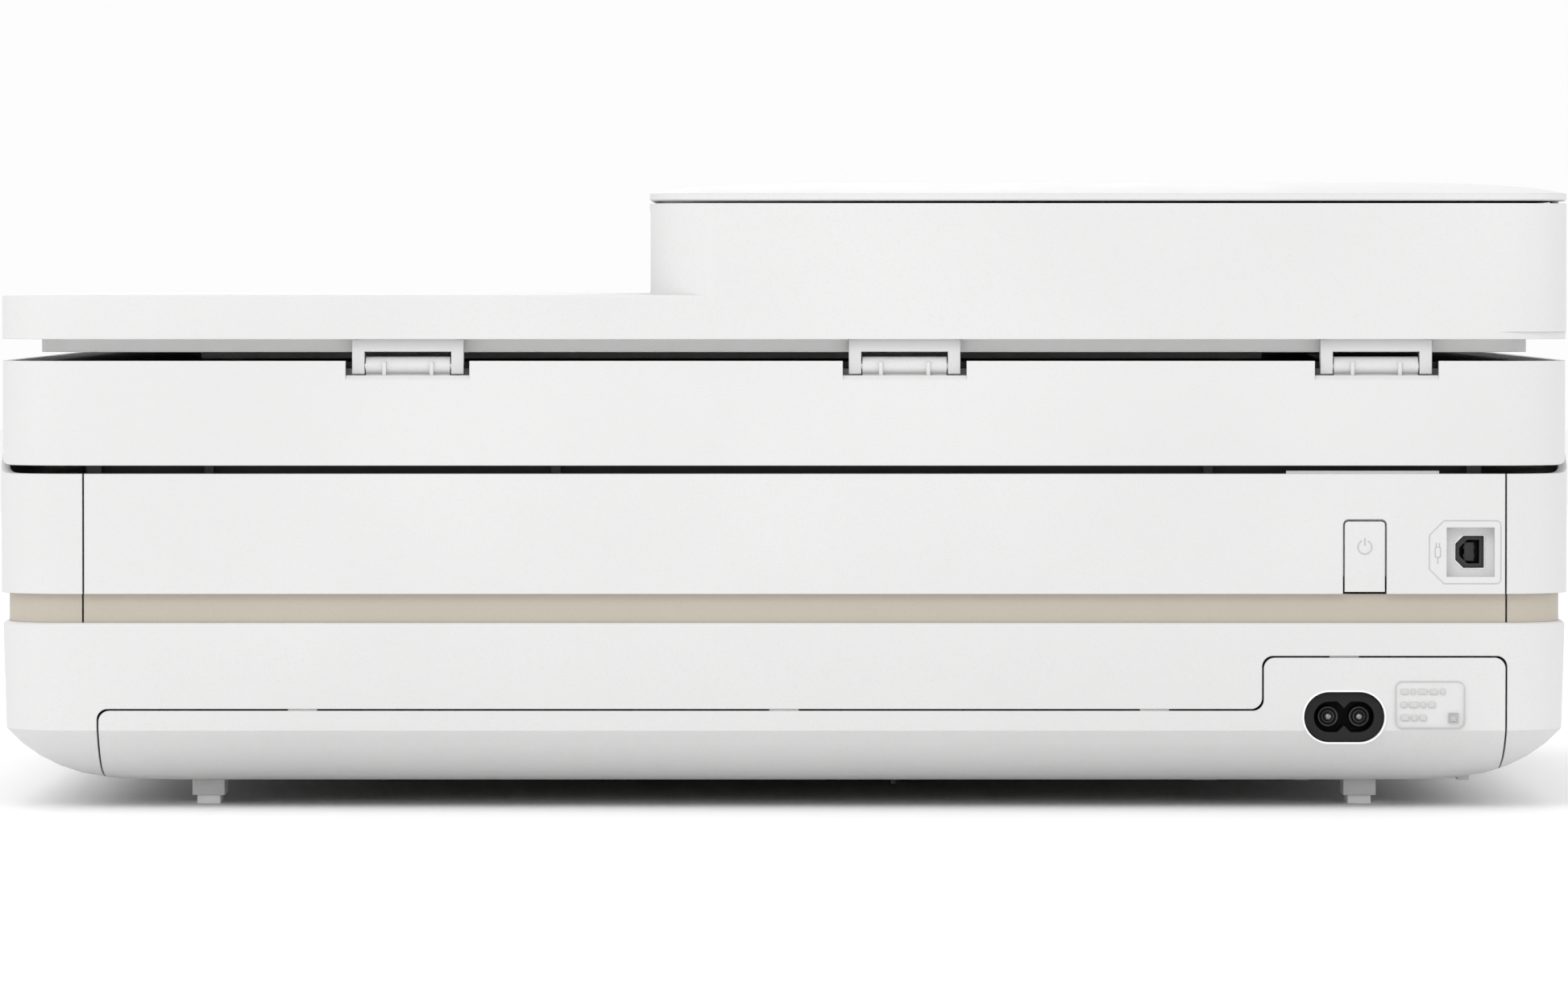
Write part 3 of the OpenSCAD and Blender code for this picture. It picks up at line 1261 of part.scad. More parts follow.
module adf_belt() {
    dx = adf_pick_x - adf_feed_x;
    dz = adf_pick_z - adf_feed_z;
    t = 0.9;
    color("#1c1c1e")
        translate([(adf_feed_x + adf_pick_x) / 2, adf_belt_y + 1.4, (adf_feed_z + adf_pick_z) / 2])
            rotate([90, 0, 0]) rotate(atan2(dz, dx)) linear_extrude(2.8) difference() {
                stadium(norm([dx, dz]) + 2 * (adf_pulley_r + t), 2 * (adf_pulley_r + t));
                stadium(norm([dx, dz]) + 2 * (adf_pulley_r + 0.1), 2 * (adf_pulley_r + 0.1));
            }
}

module adf_cover() {
    c = cover_crown;
    edge = [[z_cover, 0.4], [z_cover + 0.4, 0, cover_edge_h - 0.4]];
    dome = [for (i = [1:6]) let (u = i / 6) [z_cover + cover_edge_h + c * (1 - (1 - u) * (1 - u)), 46 * u * (0.55 + 0.45 * u)]];
    under = [for (s = dome) [s[0] - 1.9, s[1] + 1.9]];
    xm = (adf_x0 + adf_x1) / 2;
    color("white") difference() {
        translate([xm, adf_mid_y, 0]) slice_hull(concat(edge, dome), adf_w, adf_d, 18);
        translate([xm, adf_mid_y, 0]) slice_hull(concat([[z_cover - 1, 2.6]], under), adf_w, adf_d, 15.5);
        for (y = knuckle_ys) {
            box([adf_x0 - 1, y - 3.2, z_cover - 1], [cover_hinge_x + 1.6, y + 3.2, z_cover + cover_edge_h + 0.3]);
            rod_y_axis(y - 6, y + 6, cover_hinge_x, cover_hinge_z, cover_pin_r + run_gap);
        }
    }
}

base_bowl();
foot_pads();
rear_panel();
trim_band();
rear_trim();
deck_shell();
rear_cover();
inner_frame();
control_panel();
main_chassis();
paper_path_guide();
carriage_rail();
carriage_rod();
carriage_belt();
drive_motors();
platen();
service_station();
main_board();
usb_socket();
power_supply();
power_inlet();
inlet_pins();
output_tray();
power_button();
feed_roller();
idler_gear();
exit_roller();
motor_pinion();
pinch_rollers();
pick_arm();
pick_roller();
ink_carriage();
ink_cartridges();
drive_pulley();
idler_pulley();
paper_tray();
tray_guide_left();
tray_guide_right();
tray_pinion();
output_extender();
extender_stop();
scanner_housing();
scanner_bezel();
scanner_glass();
scan_bar();
hinge_pins();
lid_shell();
lid_liner();
lid_pad();
lid_hinge_arms();
adf_tray();
adf_guide_front();
adf_guide_rear();
adf_guide_pinion();
adf_frame();
adf_feed_roller();
adf_drive_pinion();
adf_pick_roller();
adf_belt();
adf_cover();
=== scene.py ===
"""Looks of the desktop printer: finishes, moulded marks, sockets, labels, wires, camera and light."""
import math

import bmesh
import bpy
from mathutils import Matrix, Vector


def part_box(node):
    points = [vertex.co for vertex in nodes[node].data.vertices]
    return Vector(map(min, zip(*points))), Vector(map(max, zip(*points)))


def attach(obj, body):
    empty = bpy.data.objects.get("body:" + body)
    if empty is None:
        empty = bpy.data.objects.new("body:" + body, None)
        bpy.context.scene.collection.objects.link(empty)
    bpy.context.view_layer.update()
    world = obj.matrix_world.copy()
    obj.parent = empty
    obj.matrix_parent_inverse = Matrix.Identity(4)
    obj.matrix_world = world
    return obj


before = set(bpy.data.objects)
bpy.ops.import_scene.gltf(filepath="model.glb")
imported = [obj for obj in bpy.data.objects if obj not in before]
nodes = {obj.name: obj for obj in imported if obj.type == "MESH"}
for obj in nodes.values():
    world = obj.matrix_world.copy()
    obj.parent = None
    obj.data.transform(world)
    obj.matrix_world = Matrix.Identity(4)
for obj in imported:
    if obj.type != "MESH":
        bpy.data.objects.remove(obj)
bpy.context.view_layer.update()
MM = 0.001

# ---------------------------------------------------------------- shader helpers


class Shader:
    """A small helper that adds nodes to one material and links them."""

    def __init__(self, name):
        self.material = bpy.data.materials.new(name)
        self.material.use_nodes = True
        self.tree = self.material.node_tree
        self.tree.nodes.clear()
        self.out = self.add("ShaderNodeOutputMaterial")
        self.bsdf = self.add("ShaderNodeBsdfPrincipled")
        self.link(self.bsdf.outputs["BSDF"], self.out.inputs["Surface"])
        self.place = self.add("ShaderNodeTexCoord").outputs["Object"]

    def add(self, kind, **values):
        node = self.tree.nodes.new(kind)
        for key, value in values.items():
            setattr(node, key, value)
        return node

    def link(self, output, target):
        self.tree.links.new(output, target)

    def noise(self, scale, detail=4.0, rough=0.55, stretch=None):
        node = self.add("ShaderNodeTexNoise")
        node.inputs["Scale"].default_value = scale
        node.inputs["Detail"].default_value = detail
        node.inputs["Roughness"].default_value = rough
        source = self.place
        if stretch:
            mapping = self.add("ShaderNodeMapping")
            mapping.inputs["Scale"].default_value = stretch
            self.link(source, mapping.inputs["Vector"])
            source = mapping.outputs["Vector"]
        self.link(source, node.inputs["Vector"])
        return node.outputs["Fac"]

    def cells(self, scale):
        node = self.add("ShaderNodeTexVoronoi")
        node.inputs["Scale"].default_value = scale
        self.link(self.place, node.inputs["Vector"])
        return node.outputs["Distance"]

    def ramp(self, source, low, high, place=(0.3, 0.7)):
        """Maps a grey value between two numbers."""
        node = self.add("ShaderNodeMapRange")
        node.inputs["From Min"].default_value, node.inputs["From Max"].default_value = place
        node.inputs["To Min"].default_value, node.inputs["To Max"].default_value = low, high
        self.link(source, node.inputs["Value"])
        return node.outputs["Result"]

    def mix_colour(self, factor, first, second):
        node = self.add("ShaderNodeMix", data_type="RGBA")
        for value, socket in ((first, node.inputs["A"]), (second, node.inputs["B"])):
            if isinstance(value, (tuple, list)):
                socket.default_value = (*value[:3], 1.0)
            else:
                self.link(value, socket)
        if isinstance(factor, float):
            node.inputs["Factor"].default_value = factor
        else:
            self.link(factor, node.inputs["Factor"])
        return node.outputs["Result"]

    def maths(self, operation, first, second):
        node = self.add("ShaderNodeMath", operation=operation, use_clamp=False)
        for value, socket in ((first, node.inputs[0]), (second, node.inputs[1])):
            if isinstance(value, (int, float)):
                socket.default_value = value
            else:
                self.link(value, socket)
        return node.outputs["Value"]

    def bevel(self, radius):
        node = self.add("ShaderNodeBevel", samples=6)
        node.inputs["Radius"].default_value = radius
        return node.outputs["Normal"]

    def bump(self, heights, edge_radius):
        """Chains (height, distance in metres, strength) bumps on a rounded-edge normal."""
        normal = self.bevel(edge_radius) if edge_radius else None
        for height, distance, strength in heights:
            node = self.add("ShaderNodeBump")
            node.inputs["Strength"].default_value = strength
            node.inputs["Distance"].default_value = distance
            self.link(height, node.inputs["Height"])
            if normal is not None:
                self.link(normal, node.inputs["Normal"])
            normal = node.outputs["Normal"]
        if normal is not None:
            self.link(normal, self.bsdf.inputs["Normal"])

    def edge_mask(self, radius, low=0.02, high=0.35):
        """1 on convex edges, from the angle between the rounded and the true normal."""
        geometry = self.add("ShaderNodeNewGeometry")
        dot = self.add("ShaderNodeVectorMath", operation="DOT_PRODUCT")
        self.link(self.bevel(radius), dot.inputs[0])
        self.link(geometry.outputs["True Normal"], dot.inputs[1])
        bend = self.maths("SUBTRACT", 1.0, dot.outputs["Value"])
        return self.ramp(bend, 0.0, 1.0, (low, high))

    def set(self, **values):
        for key, value in values.items():
            self.bsdf.inputs[key.replace("_", " ")].default_value = value


def moulded_plastic(name, colour, rough, grain=0.012, grain_scale=2600.0, mottle=0.012, edge=0.0004,
                    wear=0.05, specular=0.5, coat=0.0):
    """Moulded plastic: spark-eroded grain, faint flow mottling and rubbed edges."""
    s = Shader(name)
    broad = s.noise(9.0, 3.0)
    cloud = s.noise(60.0, 5.0, 0.6)
    fine = s.noise(grain_scale, 3.0, 0.65)
    pits = s.cells(grain_scale * 0.55)
    lighter = tuple(min(1.0, c * (1.0 + mottle)) for c in colour)
    darker = tuple(c * (1.0 - mottle) for c in colour)
    base = s.mix_colour(s.ramp(broad, 0.0, 1.0), darker, lighter)
    speck = tuple(c * (1.0 - 3.2 * mottle) for c in colour)
    base = s.mix_colour(s.ramp(fine, 0.0, 0.55, (0.52, 0.70)), base, speck)
    rubbed = s.maths("MULTIPLY", s.edge_mask(edge * 2.0), s.ramp(cloud, 0.0, wear * 2.0))
    base = s.mix_colour(rubbed, base, tuple(min(1.0, c * 1.06 + 0.015) for c in colour))
    s.link(base, s.bsdf.inputs["Base Color"])
    uneven = s.ramp(cloud, rough - 0.04, rough + 0.05)
    polish = s.maths("MULTIPLY", rubbed, 0.22)
    s.link(s.maths("SUBTRACT", uneven, polish), s.bsdf.inputs["Roughness"])
    s.bump([(fine, grain * MM, 0.9), (pits, grain * 0.7 * MM, 0.6)], edge)
    s.set(Specular_IOR_Level=specular, Coat_Weight=coat, Coat_Roughness=0.18)
    return s.material


def soft_rubber(name, colour, rough=0.72):
    """Rubber with a fine grain and pale dust."""
    s = Shader(name)
    fine = s.noise(1500.0, 4.0, 0.7)
    dust = s.noise(45.0, 5.0, 0.65)
    pale = tuple(c * 1.9 + 0.02 for c in colour)
    s.link(s.mix_colour(s.ramp(dust, 0.0, 0.35, (0.45, 0.75)), colour, pale), s.bsdf.inputs["Base Color"])
    s.link(s.ramp(dust, rough - 0.08, rough + 0.12), s.bsdf.inputs["Roughness"])
    s.bump([(fine, 0.03 * MM, 0.8)], 0.0003)
    s.set(Specular_IOR_Level=0.35, Sheen_Weight=0.15, Sheen_Roughness=0.5)
    return s.material


def brushed_metal(name, colour, rough=0.32, stretch=(1.0, 60.0, 60.0), lustre=0.9):
    """Metal with drawn lines along one axis and faint stains."""
    s = Shader(name)
    lines = s.noise(90.0, 6.0, 0.7, stretch)
    stain = s.noise(30.0, 4.0)
    dull = tuple(c * 0.82 for c in colour)
    s.link(s.mix_colour(s.ramp(stain, 0.0, 0.5), colour, dull), s.bsdf.inputs["Base Color"])
    s.link(s.ramp(lines, rough - 0.08, rough + 0.14), s.bsdf.inputs["Roughness"])
    s.bump([(lines, 0.006 * MM, 0.7), (stain, 0.02 * MM, 0.3)], 0.0003)
    s.set(Metallic=lustre, Anisotropic=0.35)
    return s.material


def float_glass(name, tint):
    """Clear glass with faint smears."""
    s = Shader(name)
    smear = s.noise(22.0, 5.0, 0.6)
    s.link(s.ramp(smear, 0.015, 0.075), s.bsdf.inputs["Roughness"])
    s.link(s.mix_colour(s.ramp(smear, 0.0, 0.4), tint, tuple(c * 0.97 for c in tint)),
           s.bsdf.inputs["Base Color"])
    s.bump([(smear, 0.004 * MM, 0.2)], 0.0002)
    s.set(Transmission_Weight=0.92, IOR=1.52)
    return s.material


def pressure_foam(name):
    """The lid's white pad: a skin of small bubbles over soft foam."""
    s = Shader(name)
    bubbles = s.cells(900.0)
    cloud = s.noise(30.0, 4.0)
    s.link(s.mix_colour(s.ramp(cloud, 0.0, 1.0), (0.83, 0.83, 0.82), (0.89, 0.89, 0.885)),
           s.bsdf.inputs["Base Color"])
    s.link(s.ramp(cloud, 0.5, 0.66), s.bsdf.inputs["Roughness"])
    s.bump([(bubbles, 0.04 * MM, 0.5), (cloud, 0.1 * MM, 0.3)], 0.0006)
    s.set(Sheen_Weight=0.2, Sheen_Roughness=0.4)
    return s.material


def circuit_board(name):
    """Solder mask over a web of copper tracks."""
    s = Shader(name)
    grid = s.add("ShaderNodeTexBrick")
    grid.inputs["Scale"].default_value = 110.0
    grid.inputs["Mortar Size"].default_value = 0.018
    swap = s.add("ShaderNodeMapping")
    swap.inputs["Rotation"].default_value = (0.0, math.radians(90), math.radians(90))
    s.link(s.place, swap.inputs["Vector"])
    s.link(swap.outputs["Vector"], grid.inputs["Vector"])
    track = s.maths("GREATER_THAN", s.noise(160.0, 2.0), 0.56)
    mask = s.mix_colour(track, (0.012, 0.11, 0.045), (0.03, 0.21, 0.09))
    s.link(s.mix_colour(grid.outputs["Fac"], mask, (0.05, 0.27, 0.12)), s.bsdf.inputs["Base Color"])
    s.link(s.ramp(s.noise(40.0), 0.28, 0.42), s.bsdf.inputs["Roughness"])
    s.bump([(grid.outputs["Fac"], 0.03 * MM, 0.6)], 0.0002)
    s.set(Coat_Weight=0.4, Coat_Roughness=0.2)
    return s.material


def glow(name, colour, strength):
    """A lit surface of the control panel."""
    s = Shader(name)
    cloud = s.noise(700.0)
    s.link(s.mix_colour(s.ramp(cloud, 0.0, 0.25), colour, tuple(c * 0.85 for c in colour)),
           s.bsdf.inputs["Base Color"])
    s.link(s.ramp(cloud, 0.35, 0.5), s.bsdf.inputs["Roughness"])
    s.set(Emission_Color=(*colour, 1.0), Emission_Strength=strength)
    return s.material


# ---------------------------------------------------------------- finishes

WHITE = moulded_plastic("white_shell", (0.672, 0.674, 0.670), 0.50, grain=0.034, grain_scale=1700.0,
                        mottle=0.026)
WHITE_SMOOTH = moulded_plastic("white_smooth", (0.645, 0.65, 0.645), 0.42, grain=0.004, mottle=0.006)
TAUPE = moulded_plastic("band_taupe", (0.468, 0.425, 0.356), 0.52, grain=0.03, grain_scale=1700.0,
                        mottle=0.03)
BLACK = moulded_plastic("black_frame", (0.022, 0.023, 0.025), 0.52, mottle=0.10, wear=0.25)
SOCKET = moulded_plastic("socket_black", (0.012, 0.012, 0.013), 0.6, mottle=0.08, wear=0.1,
                         specular=0.25)
GLOSS = moulded_plastic("black_gloss", (0.008, 0.008, 0.010), 0.12, grain=0.0015, mottle=0.05, coat=0.6)
DARK = moulded_plastic("dark_grey", (0.060, 0.063, 0.067), 0.55, mottle=0.08, wear=0.2)
GREY = moulded_plastic("mid_grey", (0.30, 0.295, 0.285), 0.5, mottle=0.03)
LIGHT = moulded_plastic("light_grey", (0.56, 0.565, 0.57), 0.48, mottle=0.02)
ACETAL = moulded_plastic("gear_plastic", (0.78, 0.76, 0.68), 0.38, grain=0.003, mottle=0.02)
RUBBER = soft_rubber("rubber", (0.030, 0.030, 0.031))
# The feet's rubber is made pale to lift the shade under the printer: painted light.
FOOT_PAINTED_LIGHT = soft_rubber("foot_rubber_painted_light", (0.86, 0.865, 0.86), 0.6)
# A brighter white than the shell, for the lid's liner and the inlet's lip: painted light that lifts the
# shade under the lid and paints a highlight round the inlet.
LINER_PAINTED_LIGHT = moulded_plastic("liner_white_painted_light", (0.93, 0.935, 0.925), 0.45, grain=0.006, mottle=0.008)
# A darker white for the moulded marks (power symbol, socket surround, plug mark, rating plate): painted
# shade that makes their thin lines read as raised.
MARK_PAINTED_SHADE = moulded_plastic("moulded_line_painted_shade", (0.56, 0.562, 0.558), 0.45, grain=0.004, mottle=0.008)
STEEL = brushed_metal("steel", (0.60, 0.61, 0.62))
BRIGHT = brushed_metal("bright_steel", (0.74, 0.74, 0.75), 0.2, (1.0, 90.0, 90.0))
# The mains pins get a dark metal: painted shade of the deep socket, over pins that are bright steel.
PIN_PAINTED_SHADE = brushed_metal("pin_metal_painted_shade", (0.26, 0.26, 0.27), 0.24)
BRASS = brushed_metal("brass", (0.72, 0.55, 0.25), 0.3)
GLASS = float_glass("glass", (0.86, 0.93, 0.91))
FOAM = pressure_foam("foam")
BOARD = circuit_board("circuit_board")
COPPER = brushed_metal("copper", (0.74, 0.38, 0.20), 0.35)
GRIT = moulded_plastic("grit_coating", (0.34, 0.345, 0.35), 0.62, grain=0.05, grain_scale=1400.0,
                       mottle=0.10)
CORK = moulded_plastic("cork", (0.42, 0.27, 0.14), 0.85, grain=0.08, grain_scale=700.0, mottle=0.20)
LABEL = moulded_plastic("label_paper", (0.66, 0.66, 0.65), 0.6, grain=0.002, mottle=0.01)
CYAN = moulded_plastic("print_cyan", (0.02, 0.33, 0.52), 0.5, grain=0.002)
MAGENTA = moulded_plastic("print_magenta", (0.55, 0.03, 0.20), 0.5, grain=0.002)
YELLOW = moulded_plastic("print_yellow", (0.72, 0.55, 0.03), 0.5, grain=0.002)
SCREEN = glow("screen", (0.06, 0.10, 0.15), 0.10)
ICON = glow("icon_light", (0.62, 0.66, 0.70), 0.20)
LAMP = glow("status_lamp", (0.10, 0.42, 0.85), 0.8)

NODE_MATERIALS = {
    WHITE: ["base_bowl", "rear_panel", "deck_shell", "rear_cover", "power_button", "paper_tray",
            "scanner_housing", "lid_shell", "adf_cover"],
    WHITE_SMOOTH: ["lid_hinge_arms"],
    # The liner's brighter white is painted light against the shade under the lid.
    LINER_PAINTED_LIGHT: ["lid_liner"],
    TAUPE: ["trim_band", "rear_trim"],
    BLACK: ["inner_frame", "paper_path_guide", "platen", "ink_carriage", "scanner_bezel", "scan_bar"],
    SOCKET: ["power_inlet"],
    GLOSS: ["control_panel", "ink_cartridges"],
    DARK: ["main_chassis", "service_station", "power_supply", "feed_roller", "exit_roller", "pick_arm",
           "adf_frame", "adf_feed_roller"],
    GREY: ["output_tray", "output_extender", "extender_stop", "adf_guide_front", "adf_guide_rear"],
    LIGHT: ["tray_guide_left", "tray_guide_right", "adf_tray"],
    ACETAL: ["idler_gear", "drive_pulley", "idler_pulley", "tray_pinion", "adf_guide_pinion"],
    RUBBER: ["pinch_rollers", "pick_roller", "adf_pick_roller", "adf_belt", "carriage_belt"],
    # The feet's pale rubber is painted light against the shade under the printer.
    FOOT_PAINTED_LIGHT: ["foot_pads"],
    STEEL: ["carriage_rail", "drive_motors", "usb_socket"],
    BRIGHT: ["carriage_rod", "hinge_pins"],
    PIN_PAINTED_SHADE: ["inlet_pins"],
    BRASS: ["motor_pinion", "adf_drive_pinion"],
    GLASS: ["scanner_glass"],
    FOAM: ["lid_pad"],
    BOARD: ["main_board"],
}


def smooth_by_angle(obj, degrees=30.0):
    """Smooth shading that keeps the edges sharper than the angle: smooth faces, a weld and an edge split.
    """
    mesh = obj.data
    mesh.polygons.foreach_set("use_smooth", [True] * len(mesh.polygons))
    if "custom_normal" in mesh.attributes:
        mesh.attributes.remove(mesh.attributes["custom_normal"])
    weld = obj.modifiers.new("weld", "WELD")
    weld.merge_threshold = 2e-6
    split = obj.modifiers.new("split", "EDGE_SPLIT")
    split.split_angle = math.radians(degrees)
    split.use_edge_sharp = False


for material, names in NODE_MATERIALS.items():
    for name in names:
        obj = nodes[name]
        obj.data.materials.clear()
        obj.data.materials.append(material)
        smooth_by_angle(obj)


def paint(node, material, test):
    """Gives a second material to the faces whose middle (mm) and normal pass the test."""
    obj = nodes[node]
    obj.data.materials.append(material)
    index = len(obj.data.materials) - 1
    turn = obj.matrix_world.to_3x3()
    for face in obj.data.polygons:
        middle = (obj.matrix_world @ face.center) / MM
        if test(middle, turn @ face.normal):
            face.material_index = index


def off_axis(node, axes):
    """Distance in mm of a point from the node's middle line, across the two given axes."""
    low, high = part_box(node)
    middle = (low + high) / 2 / MM
    return lambda p: math.hypot(p[axes[0]] - middle[axes[0]], p[axes[1]] - middle[axes[1]])


def paint_by_radius(node, axes, material, low=-1.0, high=math.inf, where=lambda p: True):
    """Paints the faces that lie between two distances in mm from the node's middle line."""
    radius = off_axis(node, axes)
    paint(node, material, lambda p, n: low < radius(p) < high and where(p))


# Rollers: a grit or rubber tread, a gear or pulley at one end and a bare shaft
ALONG_X = (1, 2)
ALONG_Y = (0, 2)
GEAR_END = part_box("feed_roller")[0].x / MM + 8
FEEDER_GEAR_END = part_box("adf_feed_roller")[0].y / MM + 9
FEEDER_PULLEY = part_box("adf_pick_roller")[1].y / MM - 5
paint_by_radius("feed_roller", ALONG_X, GRIT, low=3.5, where=lambda p: p.x > GEAR_END)
paint("feed_roller", ACETAL, lambda p, n: p.x <= GEAR_END)
paint_by_radius("exit_roller", ALONG_X, RUBBER, low=4.4, where=lambda p: p.x > GEAR_END)
paint("exit_roller", ACETAL, lambda p, n: p.x <= GEAR_END)
paint_by_radius("pinch_rollers", ALONG_X, BRIGHT, high=1.6)
paint_by_radius("pick_roller", ALONG_X, ACETAL, high=3)
paint_by_radius("adf_feed_roller", ALONG_Y, RUBBER, low=8)
paint("adf_feed_roller", ACETAL, lambda p, n: p.y < FEEDER_GEAR_END)
paint_by_radius("adf_pick_roller", ALONG_Y, DARK, high=3.5)
paint("adf_pick_roller", ACETAL, lambda p, n: p.y > FEEDER_PULLEY)

# The caps' rubber, the parts on the board with a copper coil, the motors' ends, the socket's core
CAP_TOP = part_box("service_station")[1].z / MM
paint("service_station", RUBBER, lambda p, n: p.z > CAP_TOP - 2)
BOARD_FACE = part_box("main_board")[0].x / MM + 1.6
COIL_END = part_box("main_board")[0].y / MM + 10
COIL_R = 4.6
COIL_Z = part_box("rear_trim")[1].z / MM + 3
paint("main_board", BLACK, lambda p, n: p.x > BOARD_FACE + 0.2)
paint("main_board", COPPER,
      lambda p, n: p.x > BOARD_FACE + 0.2 and p.y < COIL_END and abs(p.z - COIL_Z) < COIL_R)
BETWEEN_MOTORS = 60
paint("drive_motors", DARK,
      lambda p, n: abs(n.x if p.z < BETWEEN_MOTORS else n.y) > 0.95)
CORE_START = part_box("usb_socket")[0].x / MM + 3
SOCKET_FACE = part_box("usb_socket")[1].y / MM
paint("usb_socket", BLACK, lambda p, n: p.y < SOCKET_FACE - 0.3 and p.x > CORE_START)

# ---------------------------------------------------------------- mesh helpers


def new_object(name, bm, material, body, bevel=0.0, segments=2, smooth=35.0):
    """Makes a piece of bm that rides on a body and takes its finish from a slot."""
    mesh = bpy.data.meshes.new(name)
    bmesh.ops.recalc_face_normals(bm, faces=bm.faces)
    bm.to_mesh(mesh)
    bm.free()
    mesh.materials.append(material)
    mesh.polygons.foreach_set("use_smooth", [True] * len(mesh.polygons))
    obj = bpy.data.objects.new(name, mesh)
    bpy.context.scene.collection.objects.link(obj)
    if bevel:
        modifier = obj.modifiers.new("bevel", "BEVEL")
        modifier.width = bevel
        modifier.segments = segments
        modifier.limit_method = "ANGLE"
        modifier.angle_limit = math.radians(30)
    split = obj.modifiers.new("split", "EDGE_SPLIT")
    split.split_angle = math.radians(smooth)
    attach(obj, body)
    return obj


def rounded_outline(w, h, r, steps=6):
    """Points of a rounded rectangle about the origin, anticlockwise."""
    points = []
    for cx, cy, start in ((1, 1, 0), (-1, 1, 90), (-1, -1, 180), (1, -1, 270)):
        for k in range(steps + 1):
            a = math.radians(start + 90 * k / steps)
            points.append((cx * (w / 2 - r) + r * math.cos(a), cy * (h / 2 - r) + r * math.sin(a)))
    return points


def stadium(w, h, steps=14):
    return rounded_outline(w, h, h / 2 - 0.001, steps)


def circle(r, steps=32):
    angles = [2 * math.pi * k / steps for k in range(steps)]
    return [(r * math.cos(a), r * math.sin(a)) for a in angles]


def arc_band(r, width, start, end, steps=28):
    """Outline of an arc of a ring, between two angles in degrees."""
    angles = [math.radians(start + (end - start) * k / steps) for k in range(steps + 1)]
    outer = [((r + width / 2) * math.cos(a), (r + width / 2) * math.sin(a)) for a in angles]
    inner = [((r - width / 2) * math.cos(a), (r - width / 2) * math.sin(a)) for a in reversed(angles)]
    return outer + inner


def stroke(u0, v0, u1, v1, width=0.3):
    """Outline of a straight stroke."""
    du = u1 - u0
    dv = v1 - v0
    length = math.hypot(du, dv)
    a = -dv / length * width / 2
    b = du / length * width / 2
    return [(u0 + a, v0 + b), (u0 - a, v0 - b), (u1 - a, v1 - b), (u1 + a, v1 + b)]


def prism(bm, outline, place):
    """Adds an extruded outline to bm; place(u, v, w) gives the point for w of 0 and 1."""
    low = [bm.verts.new(place(u, v, 0)) for u, v in outline]
    high = [bm.verts.new(place(u, v, 1)) for u, v in outline]
    bm.faces.new(low)
    bm.faces.new(list(reversed(high)))
    count = len(outline)
    for i in range(count):
        bm.faces.new((low[i], low[(i + 1) % count], high[(i + 1) % count], high[i]))


def pad(bm, w, h, r, place, steps=6):
    """Adds a thin plate with rounded corners."""
    prism(bm, rounded_outline(w, h, r, steps), place)


def loop_ribbon(bm, outer, inner, place):
    """Adds a raised frame between two outlines with the same number of points."""
    count = len(outer)
    rows = [[bm.verts.new(place(u, v, w)) for u, v in line]
            for line, w in ((outer, 0), (outer, 1), (inner, 1), (inner, 0))]
    for a, b in ((0, 1), (1, 2), (2, 3), (3, 0)):
        for i in range(count):
            j = (i + 1) % count
            bm.faces.new((rows[a][i], rows[a][j], rows[b][j], rows[b][i]))


def sheet_outline(bm, place, w, h, width=0.28):
    """Adds the outline of a sheet of paper."""
    inner = rounded_outline(w - 2 * width, h - 2 * width, 0.15, 3)
    loop_ribbon(bm, rounded_outline(w, h, 0.3, 3), inner, place)


def block(bm, low, high):
    """Adds a box between two corners in millimetres."""
    corners = [(low[0], low[1]), (high[0], low[1]), (high[0], high[1]), (low[0], high[1])]
    prism(bm, corners, lambda u, v, w: (u * MM, v * MM, (low[2] + (high[2] - low[2]) * w) * MM))


def tube(bm, points, r, steps=10):
    """Adds a round tube through the points, in millimetres."""
    rows = []
    for i, point in enumerate(points):
        ahead = (points[min(i + 1, len(points) - 1)] - points[max(i - 1, 0)]).normalized()
        aside = Vector((0, 0, 1)) if abs(ahead.z) < 0.9 else Vector((1, 0, 0))
        side = ahead.cross(aside).normalized()
        up = side.cross(ahead)
        rows.append([bm.verts.new((point + (side * math.cos(a) + up * math.sin(a)) * r) * MM)
                     for a in (2 * math.pi * k / steps for k in range(steps))])
    for first, second in zip(rows, rows[1:]):
        for k in range(steps):
            bm.faces.new((first[k], first[(k + 1) % steps], second[(k + 1) % steps], second[k]))
    bm.faces.new(rows[0])
    bm.faces.new(rows[-1])


def rear_place(cx, cz, y0, y1):
    """Maps an outline seen from behind (u to the left) onto a rear face between two depths."""
    return lambda u, v, w: ((cx + u) * MM, (y0 + (y1 - y0) * w) * MM, (cz + v) * MM)


def top_place(cx, cy, z0, z1):
    """Maps an outline seen from above onto a level face between two heights."""
    return lambda u, v, w: ((cx + u) * MM, (cy + v) * MM, (z0 + (z1 - z0) * w) * MM)


def side_place(cy, cz, x0, x1):
    """Maps an outline seen from the side onto an upright face between two widths."""
    return lambda u, v, w: ((x0 + (x1 - x0) * w) * MM, (cy + u) * MM, (cz + v) * MM)


def mm_box(node):
    """A node's lowest and highest corners in millimetres."""
    low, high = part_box(node)
    return low / MM, high / MM


# The rearmost face, and how far a moulded mark stands out of the object's outermost faces
cover_low, cover_high = mm_box("rear_cover")
REAR_Y = cover_high.y
MARK_RISE = 0.03

# ---------------------------------------------------------------- power button

